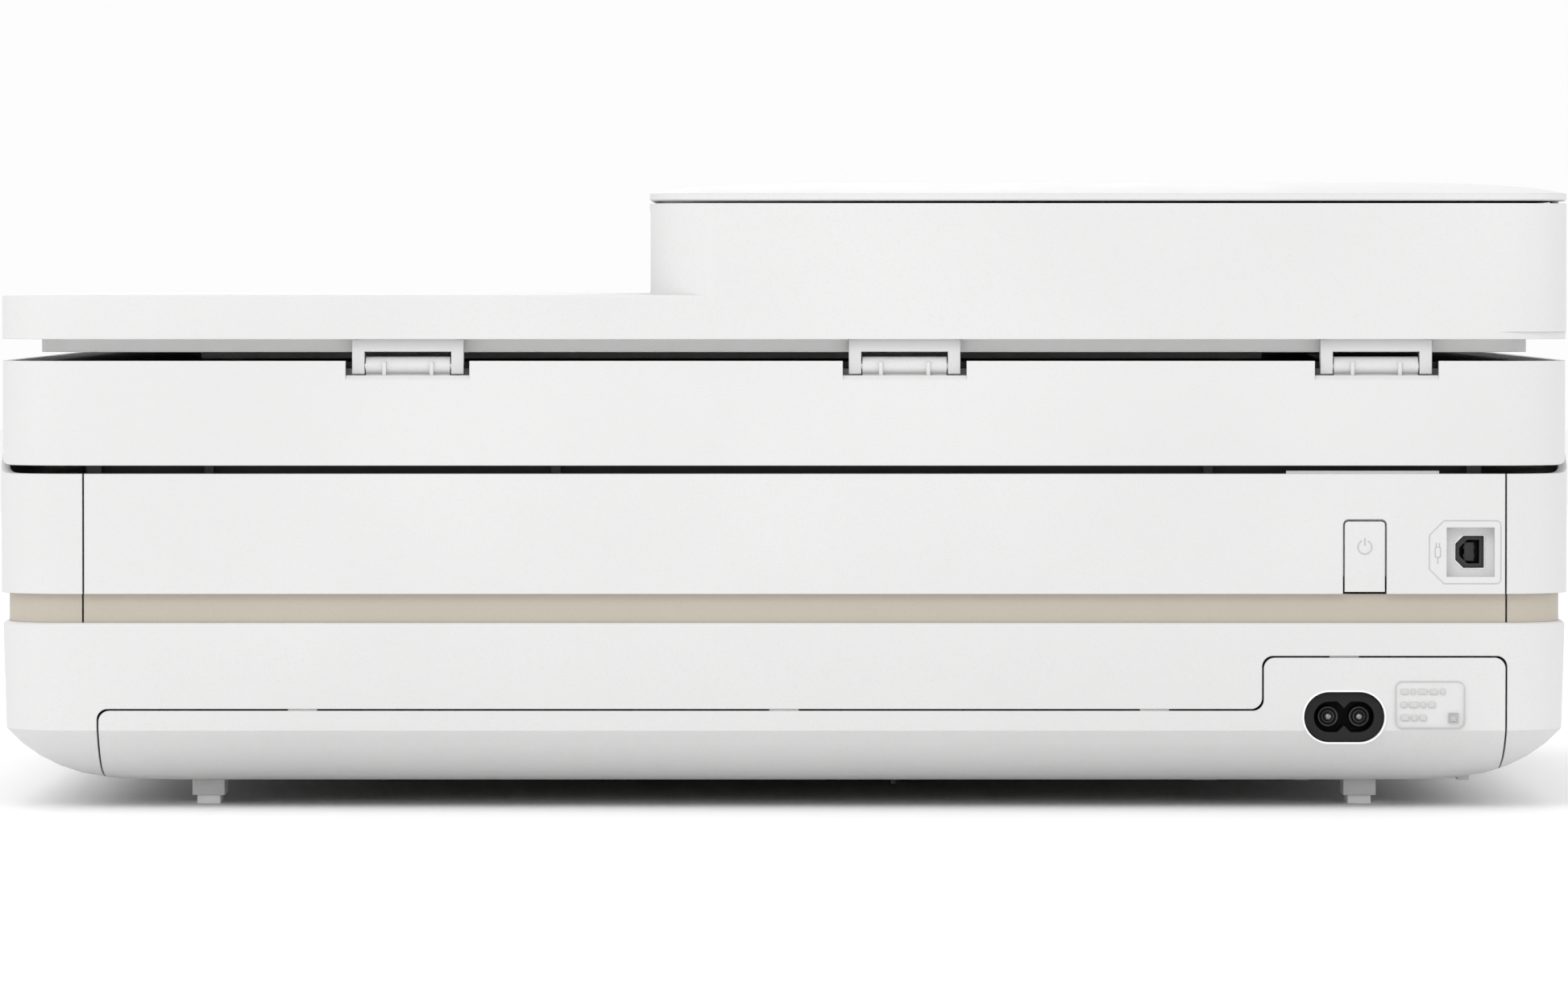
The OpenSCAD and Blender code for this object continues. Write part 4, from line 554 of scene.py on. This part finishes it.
button_low, button_high = mm_box("power_button")
BUTTON_X = (button_low.x + button_high.x) / 2
BUTTON_FACE = button_high.y
SYMBOL_Z = cover_low.z + 12.9
SYMBOL_LINE = 0.34
bm = bmesh.new()
symbol = rear_place(BUTTON_X, SYMBOL_Z, BUTTON_FACE - 0.05, BUTTON_FACE + 0.12)
prism(bm, arc_band(1.9, SYMBOL_LINE, 118, 422), symbol)
prism(bm, stroke(0, 0.4, 0, 2.5, SYMBOL_LINE), symbol)
new_object("power_symbol", bm, MARK_PAINTED_SHADE, "power_button", bevel=0.00005)

# ---------------------------------------------------------------- data socket

usb_low, usb_high = mm_box("usb_socket")
USB_X = usb_high.x - 5.2
USB_Z = (usb_low.z + usb_high.z) / 2


def plug_outline(grow):
    """The socket's D shape with two chamfers, grown all round."""
    a = 3.9 + grow
    b = 4.4 + grow
    c = 2.2
    return [(-a, -b), (a - c, -b), (a, -b + c), (a, b - c), (a - c, b), (-a, b)]


def socket_place(y0, y1):
    """Depths are measured from the socket's face."""
    return rear_place(USB_X, USB_Z, SOCKET_FACE + y0, SOCKET_FACE + y1)


bm = bmesh.new()
loop_ribbon(bm, plug_outline(0.45), plug_outline(0.0), socket_place(-8, 1.4))
new_object("usb_shell", bm, BRIGHT, "base", bevel=0.00008)
bm = bmesh.new()
loop_ribbon(bm, plug_outline(-0.02), plug_outline(-1.15), socket_place(-8, 0.2))
prism(bm, stroke(0, -2.6, 0, 2.6, 2.7), socket_place(-8, -0.6))
prism(bm, plug_outline(-0.1), socket_place(-8.5, -7.6))
new_object("usb_insulator", bm, BLACK, "base", bevel=0.0001)
bm = bmesh.new()
for x in (USB_X - 1.38, USB_X + 1.38):
    for z in (USB_Z - 1.2, USB_Z + 1.2):
        block(bm, (x - 0.05, SOCKET_FACE - 7, z - 0.45), (x + 0.05, SOCKET_FACE - 1.2, z + 0.45))
new_object("usb_contacts", bm, BRASS, "base")

# Raised line around the recess, chamfered on the side of the plug mark
SURROUND_LEFT = 11.3
SURROUND_RIGHT = -8.3
SURROUND_TOP = 8.65
SURROUND_CUT = 4.0


def surround(grow):
    """Outline of the raised line, grown all round."""
    r = 1.3 + grow
    left = SURROUND_LEFT + grow
    right = SURROUND_RIGHT - grow
    top = SURROUND_TOP + grow
    cut_x = SURROUND_LEFT - SURROUND_CUT + 0.4 * grow
    cut_z = SURROUND_TOP - SURROUND_CUT + 0.4 * grow
    angles = [math.radians(15 * k) for k in range(7)]
    chamfered = [(cut_x, top), (left, cut_z), (left, -cut_z), (cut_x, -top)]
    lower = [(right + r - r * math.sin(a), -top + r - r * math.cos(a)) for a in angles]
    upper = [(right + r - r * math.cos(a), top - r + r * math.sin(a)) for a in angles]
    return chamfered + lower + upper


# The line is darker than the shell: painted shade, so the near-flush ring reads as moulded.
bm = bmesh.new()
loop_ribbon(bm, surround(0.16), surround(-0.16), rear_place(USB_X, USB_Z, REAR_Y - 0.1, REAR_Y + MARK_RISE))
new_object("usb_surround", bm, MARK_PAINTED_SHADE, "base")

# Generic plug mark: a body, a lead and two blades
bm = bmesh.new()
mark = rear_place(USB_X + 9.0, USB_Z, REAR_Y - 0.05, REAR_Y + MARK_RISE)
loop_ribbon(bm, rounded_outline(1.7, 3.0, 0.4), rounded_outline(1.2, 2.5, 0.25), mark)
prism(bm, stroke(0, -3.2, 0, -1.5), mark)
for blade in (-0.45, 0.45):
    prism(bm, stroke(blade, 1.5, blade, 2.5, 0.28), mark)
new_object("usb_mark", bm, MARK_PAINTED_SHADE, "base")

# ---------------------------------------------------------------- mains inlet and rating plate

inlet_low, inlet_high = mm_box("power_inlet")
pins_low, pins_high = mm_box("inlet_pins")
INLET_X = (inlet_low.x + inlet_high.x) / 2
INLET_Z = (inlet_low.z + inlet_high.z) / 2
INLET_W = inlet_high.x - inlet_low.x
INLET_H = inlet_high.z - inlet_low.z
INLET_Y = inlet_high.y
PIN_R = 1.2
# The ring is the opening's lip; its brighter white is a painted highlight.
bm = bmesh.new()
loop_ribbon(bm, stadium(INLET_W + 1.5, INLET_H + 1.5), stadium(INLET_W + 0.5, INLET_H + 0.5),
            rear_place(INLET_X, INLET_Z, INLET_Y - 2.0, INLET_Y + 1.85))
new_object("inlet_lip_painted_highlight", bm, LINER_PAINTED_LIGHT, "base", bevel=0.0002)
bm = bmesh.new()
for pin_x in (pins_low.x + PIN_R, pins_high.x - PIN_R):
    ring = rear_place(pin_x, INLET_Z, INLET_Y - 5.0, INLET_Y - 3.6)
    for r in (2.75, 1.75):
        loop_ribbon(bm, circle(r), circle(r - 0.4), ring)
new_object("inlet_rings", bm, DARK, "base", bevel=0.00008)

# The plate has plain raised bars in the place of words
PLATE_X = INLET_X - 23.5
PLATE_Z = INLET_Z + 3.4
PLATE_W = 19.1
PLATE_H = 13.0
PLATE_LINE = 0.22
PLATE_ROWS = ((3.6, (2.0, 1.2, 2.6, 2.2, 1.4)), (0.0, (1.6, 2.4, 1.4, 2.0)), (-3.6, (2.2, 1.6, 1.8)))
FACE_Y = mm_box("rear_panel")[1].y


def plate_place(u, v, rise=0.08):
    return rear_place(PLATE_X + u, PLATE_Z + v, FACE_Y - 0.5, FACE_Y + rise)


bm = bmesh.new()
loop_ribbon(bm, rounded_outline(PLATE_W, PLATE_H, 1.9),
            rounded_outline(PLATE_W - 2 * PLATE_LINE, PLATE_H - 2 * PLATE_LINE, 1.7),
            plate_place(0, 0, 0.12))
for row, widths in PLATE_ROWS:
    u = 8.0
    for width in widths:
        pad(bm, width, 1.5, 0.3, plate_place(u - width / 2, row), 3)
        u -= width + 0.7
for size in (2.9, 1.7):
    loop_ribbon(bm, rounded_outline(size, size, 0.2, 2), rounded_outline(size - 0.4, size - 0.4, 0.1, 2),
                plate_place(-6.4, -3.6))
new_object("rating_plate", bm, MARK_PAINTED_SHADE, "base", bevel=0.00004)

# ---------------------------------------------------------------- control panel

panel_low, panel_high = mm_box("control_panel")
PANEL_Y = panel_low.y
PANEL_X = (panel_low.x + panel_high.x) / 2
PANEL_Z = (panel_low.z + panel_high.z) / 2
WIRELESS_X = -39
BACK_X = -31
SCREEN_X = -9
CANCEL_X = 14
COPY_X = 22.3
START_X = 32
LAMP_X = 40


def panel_place(x, z=0.0, rise=0.12):
    """Places are measured from the panel's middle."""
    return rear_place(PANEL_X + x, PANEL_Z + z, PANEL_Y - rise, PANEL_Y + 0.05)


bm = bmesh.new()
pad(bm, 28, 11.5, 0.8, panel_place(SCREEN_X, 0, 0.06), 4)
new_object("panel_screen", bm, SCREEN, "base")

# Three sheets on the screen, with a bar under each and lines on the first
bm = bmesh.new()
for k in range(3):
    x = SCREEN_X - 10 + 10 * k
    sheet_outline(bm, panel_place(x, 0.6, 0.1), 4.4 - 0.4 * k, 5.2)
    pad(bm, 3.2, 0.35, 0.15, panel_place(x, -4.0, 0.1), 2)
for k in range(3):
    pad(bm, 2.2, 0.3, 0.1, panel_place(SCREEN_X - 10, 1.6 - 1.1 * k, 0.1), 2)
new_object("screen_marks", bm, ICON, "base")

# Touch keys: cancel, wireless, start, copy and back
bm = bmesh.new()
for v in (1.3, -1.3):
    prism(bm, stroke(-1.3, -v, 1.3, v), panel_place(CANCEL_X))
for r in (1.2, 2.1, 3.0):
    prism(bm, arc_band(r, 0.32, 45, 135, 12), panel_place(WIRELESS_X, -1.4))
prism(bm, circle(0.4, 12), panel_place(WIRELESS_X, -1.4))
prism(bm, [(-1.1, -1.5), (1.6, 0.0), (-1.1, 1.5)], panel_place(START_X))
loop_ribbon(bm, circle(3.4), circle(3.12), panel_place(START_X))
sheet_outline(bm, panel_place(COPY_X, 0.4), 2.8, 3.6)
sheet_outline(bm, panel_place(COPY_X + 1, -0.6, 0.14), 2.8, 3.6)
prism(bm, arc_band(1.8, 0.32, 30, 330, 20), panel_place(BACK_X))
for v in (-0.9, 0.9):
    prism(bm, stroke(1.0, v, 2.4, v + 0.01), panel_place(BACK_X))
new_object("panel_icons", bm, ICON, "base")
bm = bmesh.new()
pad(bm, 9.0, 0.7, 0.3, panel_place(LAMP_X, -2.6), 4)
new_object("status_lamp", bm, LAMP, "base")

# ---------------------------------------------------------------- ink carriage and cartridges

cart_low, cart_high = mm_box("ink_cartridges")
CART_MID = (cart_low.x + cart_high.x) / 2
CART_OFFSET = (cart_high.x - cart_low.x) / 4 + 1
CART_TOP_W = (cart_high.x - cart_low.x) / 2 - 4
CART_TOP = cart_high.z
CART_STEP = cart_high.z - 5
bm_label = bmesh.new()
bm_print = bmesh.new()
bm_nozzle = bmesh.new()
for x in (CART_MID - CART_OFFSET, CART_MID + CART_OFFSET):
    pad(bm_label, CART_TOP_W - 8, 13, 1.2,
        top_place(x, cart_low.y + 8, CART_TOP - 0.05, CART_TOP + 0.08), 4)
    block(bm_nozzle, (x - 8, cart_low.y + 6, cart_low.z - 0.06),
          (x + 8, cart_high.y - 10, cart_low.z + 0.02))
    for k in range(5):
        line = top_place(x, cart_low.y + 4.5 + 1.7 * k, CART_TOP, CART_TOP + 0.12)
        pad(bm_print, CART_TOP_W - 14, 0.5, 0.2, line, 2)
new_object("cartridge_labels", bm_label, LABEL, "carriage")
new_object("cartridge_print", bm_print, DARK, "carriage")
new_object("nozzle_plates", bm_nozzle, BRASS, "carriage")
COLOUR_DOTS = (("dot_cyan", CYAN, 1, -6), ("dot_magenta", MAGENTA, 1, 0), ("dot_yellow", YELLOW, 1, 6),
               ("dot_black", GREY, -1, 0))
for name, material, side, shift in COLOUR_DOTS:
    bm = bmesh.new()
    x = CART_MID + side * CART_OFFSET + shift
    prism(bm, circle(2.2, 24), top_place(x, cart_high.y - 6, CART_STEP - 0.05, CART_STEP + 0.1))
    new_object(name, bm, material, "carriage")

# Encoder strip behind the carriage
rail_low, rail_high = mm_box("carriage_rail")
belt_low, belt_high = mm_box("carriage_belt")
bm = bmesh.new()
block(bm, (rail_low.x + 4, belt_high.y + 0.45, belt_low.z - 8),
      (rail_high.x - 4, belt_high.y + 0.6, belt_low.z - 3))
new_object("encoder_strip", bm, LABEL, "base")

# ---------------------------------------------------------------- scan bar

bar_low, bar_high = mm_box("scan_bar")
BAR_MID = (bar_low.x + bar_high.x) / 2
BAR_TOP = bar_high.z
LENS_L = 3.6
LENS_STEP = 4
LENS_COUNT = 1 + int((bar_high.y - bar_low.y - 10 - LENS_L) / LENS_STEP)
bm = bmesh.new()
block(bm, (BAR_MID - 5.5, bar_low.y + 6, BAR_TOP - 0.1), (BAR_MID - 2.5, bar_high.y - 6, BAR_TOP + 0.2))
new_object("light_guide", bm, LABEL, "scan_bar", bevel=0.0001)
bm = bmesh.new()
for k in range(LENS_COUNT):
    y = bar_low.y + 6 + LENS_STEP * k
    block(bm, (BAR_MID + 1, y, BAR_TOP - 0.1), (BAR_MID + 4, y + LENS_L, BAR_TOP + 0.12))
new_object("lens_row", bm, GLOSS, "scan_bar")

# ---------------------------------------------------------------- main board

board_low, board_high = mm_box("main_board")
CONNECTOR_L = 16
PIN_COUNT = 7
PIN_PITCH = 2.1
bm_white = bmesh.new()
bm_can = bmesh.new()
bm_lead = bmesh.new()
bm_chip = bmesh.new()
for k in range(2):
    y0 = board_low.y + 8 + 20 * k
    z = board_low.z + 5 + 8 * k
    block(bm_white, (BOARD_FACE, y0, z), (BOARD_FACE + 4.5, y0 + CONNECTOR_L, z + 5))
    for pin in range(PIN_COUNT):
        y = y0 + 1.3 + PIN_PITCH * pin
        block(bm_lead, (BOARD_FACE + 1, y, z + 4.8), (BOARD_FACE + 1.5, y + 0.6, z + 6.0))
for k in range(3):
    can = side_place(board_low.y + 4 + 7 * k, board_high.z - 7, BOARD_FACE, BOARD_FACE + 6.5)
    prism(bm_can, circle(3.2, 24), can)
for k in range(18):
    y = board_low.y + 6 + (k * 7) % 58
    z = board_low.z + 3 + (k * 11) % 44
    block(bm_chip, (BOARD_FACE, y, z), (BOARD_FACE + 0.9, y + 1.8, z + 1.0))
new_object("board_connectors", bm_white, ACETAL, "base", bevel=0.0002)
new_object("board_leads", bm_lead, BRIGHT, "base")
new_object("board_capacitors", bm_can, DARK, "base", bevel=0.0003)
new_object("board_chips", bm_chip, BLACK, "base")

# ---------------------------------------------------------------- power supply and its leads

supply_low, supply_high = mm_box("power_supply")
LEAD_R = 0.8
LEAD_PITCH = 2.2


def lead_path(k):
    """The path of lead k from the supply's side up to the board, rounded at its bends."""
    start = Vector((supply_low.x - 0.2, supply_low.y + 20 + LEAD_PITCH * k, supply_low.z + 16))
    end = Vector((BOARD_FACE + 0.5, supply_low.y + 14 + LEAD_PITCH * k, supply_high.z + 8))
    bends = [start, start + Vector((-5, 0, 4)), start + Vector((-7, -2, 14)), end + Vector((5, 0, 0)), end]
    path = [a.lerp(b, t / 4) for a, b in zip(bends, bends[1:]) for t in range(4)] + [end]
    for _ in range(3):
        middle = [(a + b * 2 + c) / 4 for a, b, c in zip(path, path[1:], path[2:])]
        path = [path[0]] + middle + [path[-1]]
    return path


for k, (name, material) in enumerate((("lead_red", MAGENTA), ("lead_black", BLACK), ("lead_grey", GREY))):
    bm = bmesh.new()
    tube(bm, lead_path(k), LEAD_R)
    new_object(name, bm, material, "base", smooth=60)

# Sticker and vents on the supply's case; the vents are black slits laid on the case, painted shade of the
# openings
SUPPLY_X = (supply_low.x + supply_high.x) / 2
SUPPLY_Y = (supply_low.y + supply_high.y) / 2
SUPPLY_TOP = supply_high.z
bm = bmesh.new()
pad(bm, 26, 16, 0.8, top_place(SUPPLY_X, SUPPLY_Y - 6, SUPPLY_TOP - 0.05, SUPPLY_TOP + 0.1), 3)
new_object("supply_sticker", bm, LABEL, "base")
bm = bmesh.new()
for k in range(8):
    slit = top_place(SUPPLY_X, SUPPLY_Y + 8 + 2.2 * k, SUPPLY_TOP - 0.05, SUPPLY_TOP + 0.05)
    pad(bm, 24, 1.3, 0.6, slit, 4)
new_object("supply_vents_painted_shade", bm, BLACK, "base")

# ---------------------------------------------------------------- drawer, extender and feeder marks

tray_low = mm_box("paper_tray")[0]
TRAY_FLOOR = tray_low.z + 5.5
SHEET_WIDTHS = (148, 182, 210)
pick_low, pick_high = mm_box("pick_roller")
bm = bmesh.new()
pad(bm, 16, 15, 1, top_place(0, (pick_low.y + pick_high.y) / 2, TRAY_FLOOR - 0.05, TRAY_FLOOR + 0.35), 4)
new_object("separation_pad", bm, CORK, "paper_tray")
bm = bmesh.new()
for k, width in enumerate(SHEET_WIDTHS):
    for side in (-1, 1):
        spot = top_place(side * width * 0.48, tray_low.y + 30 + 5 * k, TRAY_FLOOR - 0.02, TRAY_FLOOR + 0.1)
        prism(bm, stroke(-4, 0, 4, 0, 0.6), spot)
        prism(bm, stroke(0, -3, 0, 3, 0.6), spot)
new_object("tray_marks", bm, GREY, "paper_tray")

extender_low, extender_high = mm_box("output_extender")
EXTENDER_TOP = extender_high.z - 2.8
bm = bmesh.new()
for k in range(5):
    rib = top_place(0, extender_low.y + 42 + 3 * k, EXTENDER_TOP - 0.05, EXTENDER_TOP + 0.2)
    pad(bm, 26, 0.9, 0.4, rib, 4)
new_object("extender_grips", bm, DARK, "output_extender")

feeder_low, feeder_high = mm_box("adf_cover")
MARK_X = feeder_high.x - 56
MARK_Y = (feeder_low.y + feeder_high.y) / 2
crown = (feeder_high.z - 0.1, feeder_high.z + MARK_RISE)
bm = bmesh.new()
sheet_outline(bm, top_place(MARK_X, MARK_Y, *crown), 11, 15, 0.45)
for k in range(4):
    pad(bm, 6.5, 0.5, 0.2, top_place(MARK_X, MARK_Y + 4 - 2.6 * k, *crown), 2)
new_object("document_mark", bm, GREY, "adf_cover")

# ---------------------------------------------------------------- screws


def screws(name, body, places, r=2.6):
    """Cross-head screws, heads up, at (x, y, z) places in millimetres."""
    heads = bmesh.new()
    # The cross recess is a black cross laid on each head: painted shade of the recess.
    slots_painted_shade = bmesh.new()
    for x, y, z in places:
        prism(heads, circle(r, 24), top_place(x, y, z - 0.1, z + 0.9))
        for du, dv in ((0.62 * r, 0), (0, 0.62 * r)):
            prism(slots_painted_shade, stroke(-du, -dv, du, dv, 0.22 * r), top_place(x, y, z + 0.85, z + 0.93))
    new_object(name, heads, BRIGHT, body, bevel=0.00035, segments=3)
    new_object(name + "_slots", slots_painted_shade, BLACK, body)


frame_low, frame_high = mm_box("inner_frame")
FRAME_Z = frame_low.z + 16
FRAME_SCREW_X = frame_high.x - 8
FRAME_SCREW_YS = (frame_low.y + 14, 20, frame_high.y - 40)
CHASSIS_REAR = mm_box("main_chassis")[1].y
DECK_Z = mm_box("output_tray")[0].z
screws("frame_screws", "base",
       [(side * FRAME_SCREW_X, y, FRAME_Z) for side in (-1, 1) for y in FRAME_SCREW_YS])
screws("deck_screws", "base",
       [(side * 108, CHASSIS_REAR - back, DECK_Z) for side in (-1, 1) for back in (50, 68)], 2.2)

# ---------------------------------------------------------------- underside

UNDER_Z = mm_box("rear_panel")[0].z
STICKER_X = 40
# The screw wells and the vent slots are black discs and bars laid flush on the underside: painted shade of
# the holes.
bm_ring = bmesh.new()
bm_well_painted_shade = bmesh.new()
for x in (-120, 0, 120):
    for y in (-120, 118):
        loop_ribbon(bm_ring, circle(5.2), circle(4.2), top_place(x, y, UNDER_Z - 0.25, UNDER_Z + 0.3))
        prism(bm_well_painted_shade, circle(4.3), top_place(x, y, UNDER_Z - 0.06, UNDER_Z + 0.3))
for k in range(14):
    pad(bm_well_painted_shade, 2.2, 34, 1.0, top_place(-65 + 10 * k, 30, UNDER_Z - 0.06, UNDER_Z + 0.3), 4)
new_object("screw_rims", bm_ring, WHITE_SMOOTH, "base", bevel=0.0001)
new_object("screw_wells_painted_shade", bm_well_painted_shade, BLACK, "base")
bm = bmesh.new()
pad(bm, 60, 34, 2, top_place(STICKER_X, -60, UNDER_Z - 0.1, UNDER_Z + 0.2), 5)
new_object("under_sticker", bm, LABEL, "base")
bm = bmesh.new()
for k, width in enumerate((44, 36, 40, 28, 34)):
    row = top_place(STICKER_X - 25 + width / 2, -50 - 5 * k, UNDER_Z - 0.14, UNDER_Z)
    pad(bm, width, 1.3, 0.4, row, 3)
new_object("sticker_bars", bm, GREY, "base")
bm = bmesh.new()
for x, width in ((-144.5, 4.5), (-189.5, 3.4), (-117.5, 7.0)):
    block(bm, (x - width / 2, 132, UNDER_Z - 0.7), (x + width / 2, 138, UNDER_Z + 1.0))
new_object("under_nubs", bm, WHITE_SMOOTH, "base", bevel=0.0003)
bm = bmesh.new()
block(bm, (-31.2, 136, UNDER_Z - 1.7), (-29.7, 139, UNDER_Z + 0.5))
new_object("under_peg", bm, BLACK, "base", bevel=0.0002)

# ---------------------------------------------------------------- camera and light

CAMERA_DISTANCE = 2.5
CAMERA_HEIGHT = 0.1475
CAMERA_PITCH = math.radians(1.376)
LENS = 209.4
camera_data = bpy.data.cameras.new("camera")
camera_data.lens = LENS
camera_data.sensor_width = 36.0
camera_data.clip_end = 50.0
camera = bpy.data.objects.new("camera", camera_data)
camera.location = (0.0, REAR_Y * MM + CAMERA_DISTANCE, CAMERA_HEIGHT)
camera.rotation_euler = (math.radians(90) - CAMERA_PITCH, 0.0, math.radians(180))
bpy.context.scene.collection.objects.link(camera)
bpy.context.scene.camera = camera


def area_light(name, location, target, size, power, size_y=None):
    """A soft white panel, in metres and watts, that faces the target."""
    data = bpy.data.lights.new(name, "AREA")
    data.energy = power
    data.shape = "RECTANGLE"
    data.size = size
    data.size_y = size_y or size
    light = bpy.data.objects.new(name, data)
    light.location = location
    light.rotation_euler = (Vector(target) - Vector(location)).to_track_quat("-Z", "Y").to_euler()
    bpy.context.scene.collection.objects.link(light)


area_light("key", (0.6, 1.9, 1.5), (0, 0.15, 0.08), 1.4, 11.0, size_y=0.9)
area_light("fill_left", (2.0, 1.1, 0.6), (0, 0, 0.08), 1.0, 3.0, size_y=1.2)
area_light("fill_right", (-2.0, 1.0, 0.7), (0, 0, 0.08), 1.0, 3.5, size_y=1.2)
area_light("front_fill", (0.4, -2.2, 1.4), (0, 0, 0.08), 1.6, 9.0)
area_light("top", (0.0, -0.1, 2.4), (0, 0, 0.1), 2.0, 5.0)

world = bpy.data.worlds.new("studio")
world.use_nodes = True
world.node_tree.nodes["Background"].inputs["Color"].default_value = (1.0, 1.0, 1.0, 1.0)
world.node_tree.nodes["Background"].inputs["Strength"].default_value = 0.98
bpy.context.scene.world = world

floor_shader = Shader("floor")
floor_shader.link(floor_shader.mix_colour(floor_shader.ramp(floor_shader.noise(3.0), 0.0, 1.0),
                                          (0.93, 0.93, 0.93), (0.95, 0.95, 0.95)),
                  floor_shader.bsdf.inputs["Base Color"])
floor_shader.set(Roughness=0.9, Specular_IOR_Level=0.1)
bm = bmesh.new()
bmesh.ops.create_grid(bm, x_segments=1, y_segments=1, size=6.0)
floor_mesh = bpy.data.meshes.new("floor")
bm.to_mesh(floor_mesh)
bm.free()
floor_mesh.materials.append(floor_shader.material)
floor = bpy.data.objects.new("floor", floor_mesh)
bpy.context.scene.collection.objects.link(floor)

bpy.context.scene.view_settings.view_transform = "Standard"
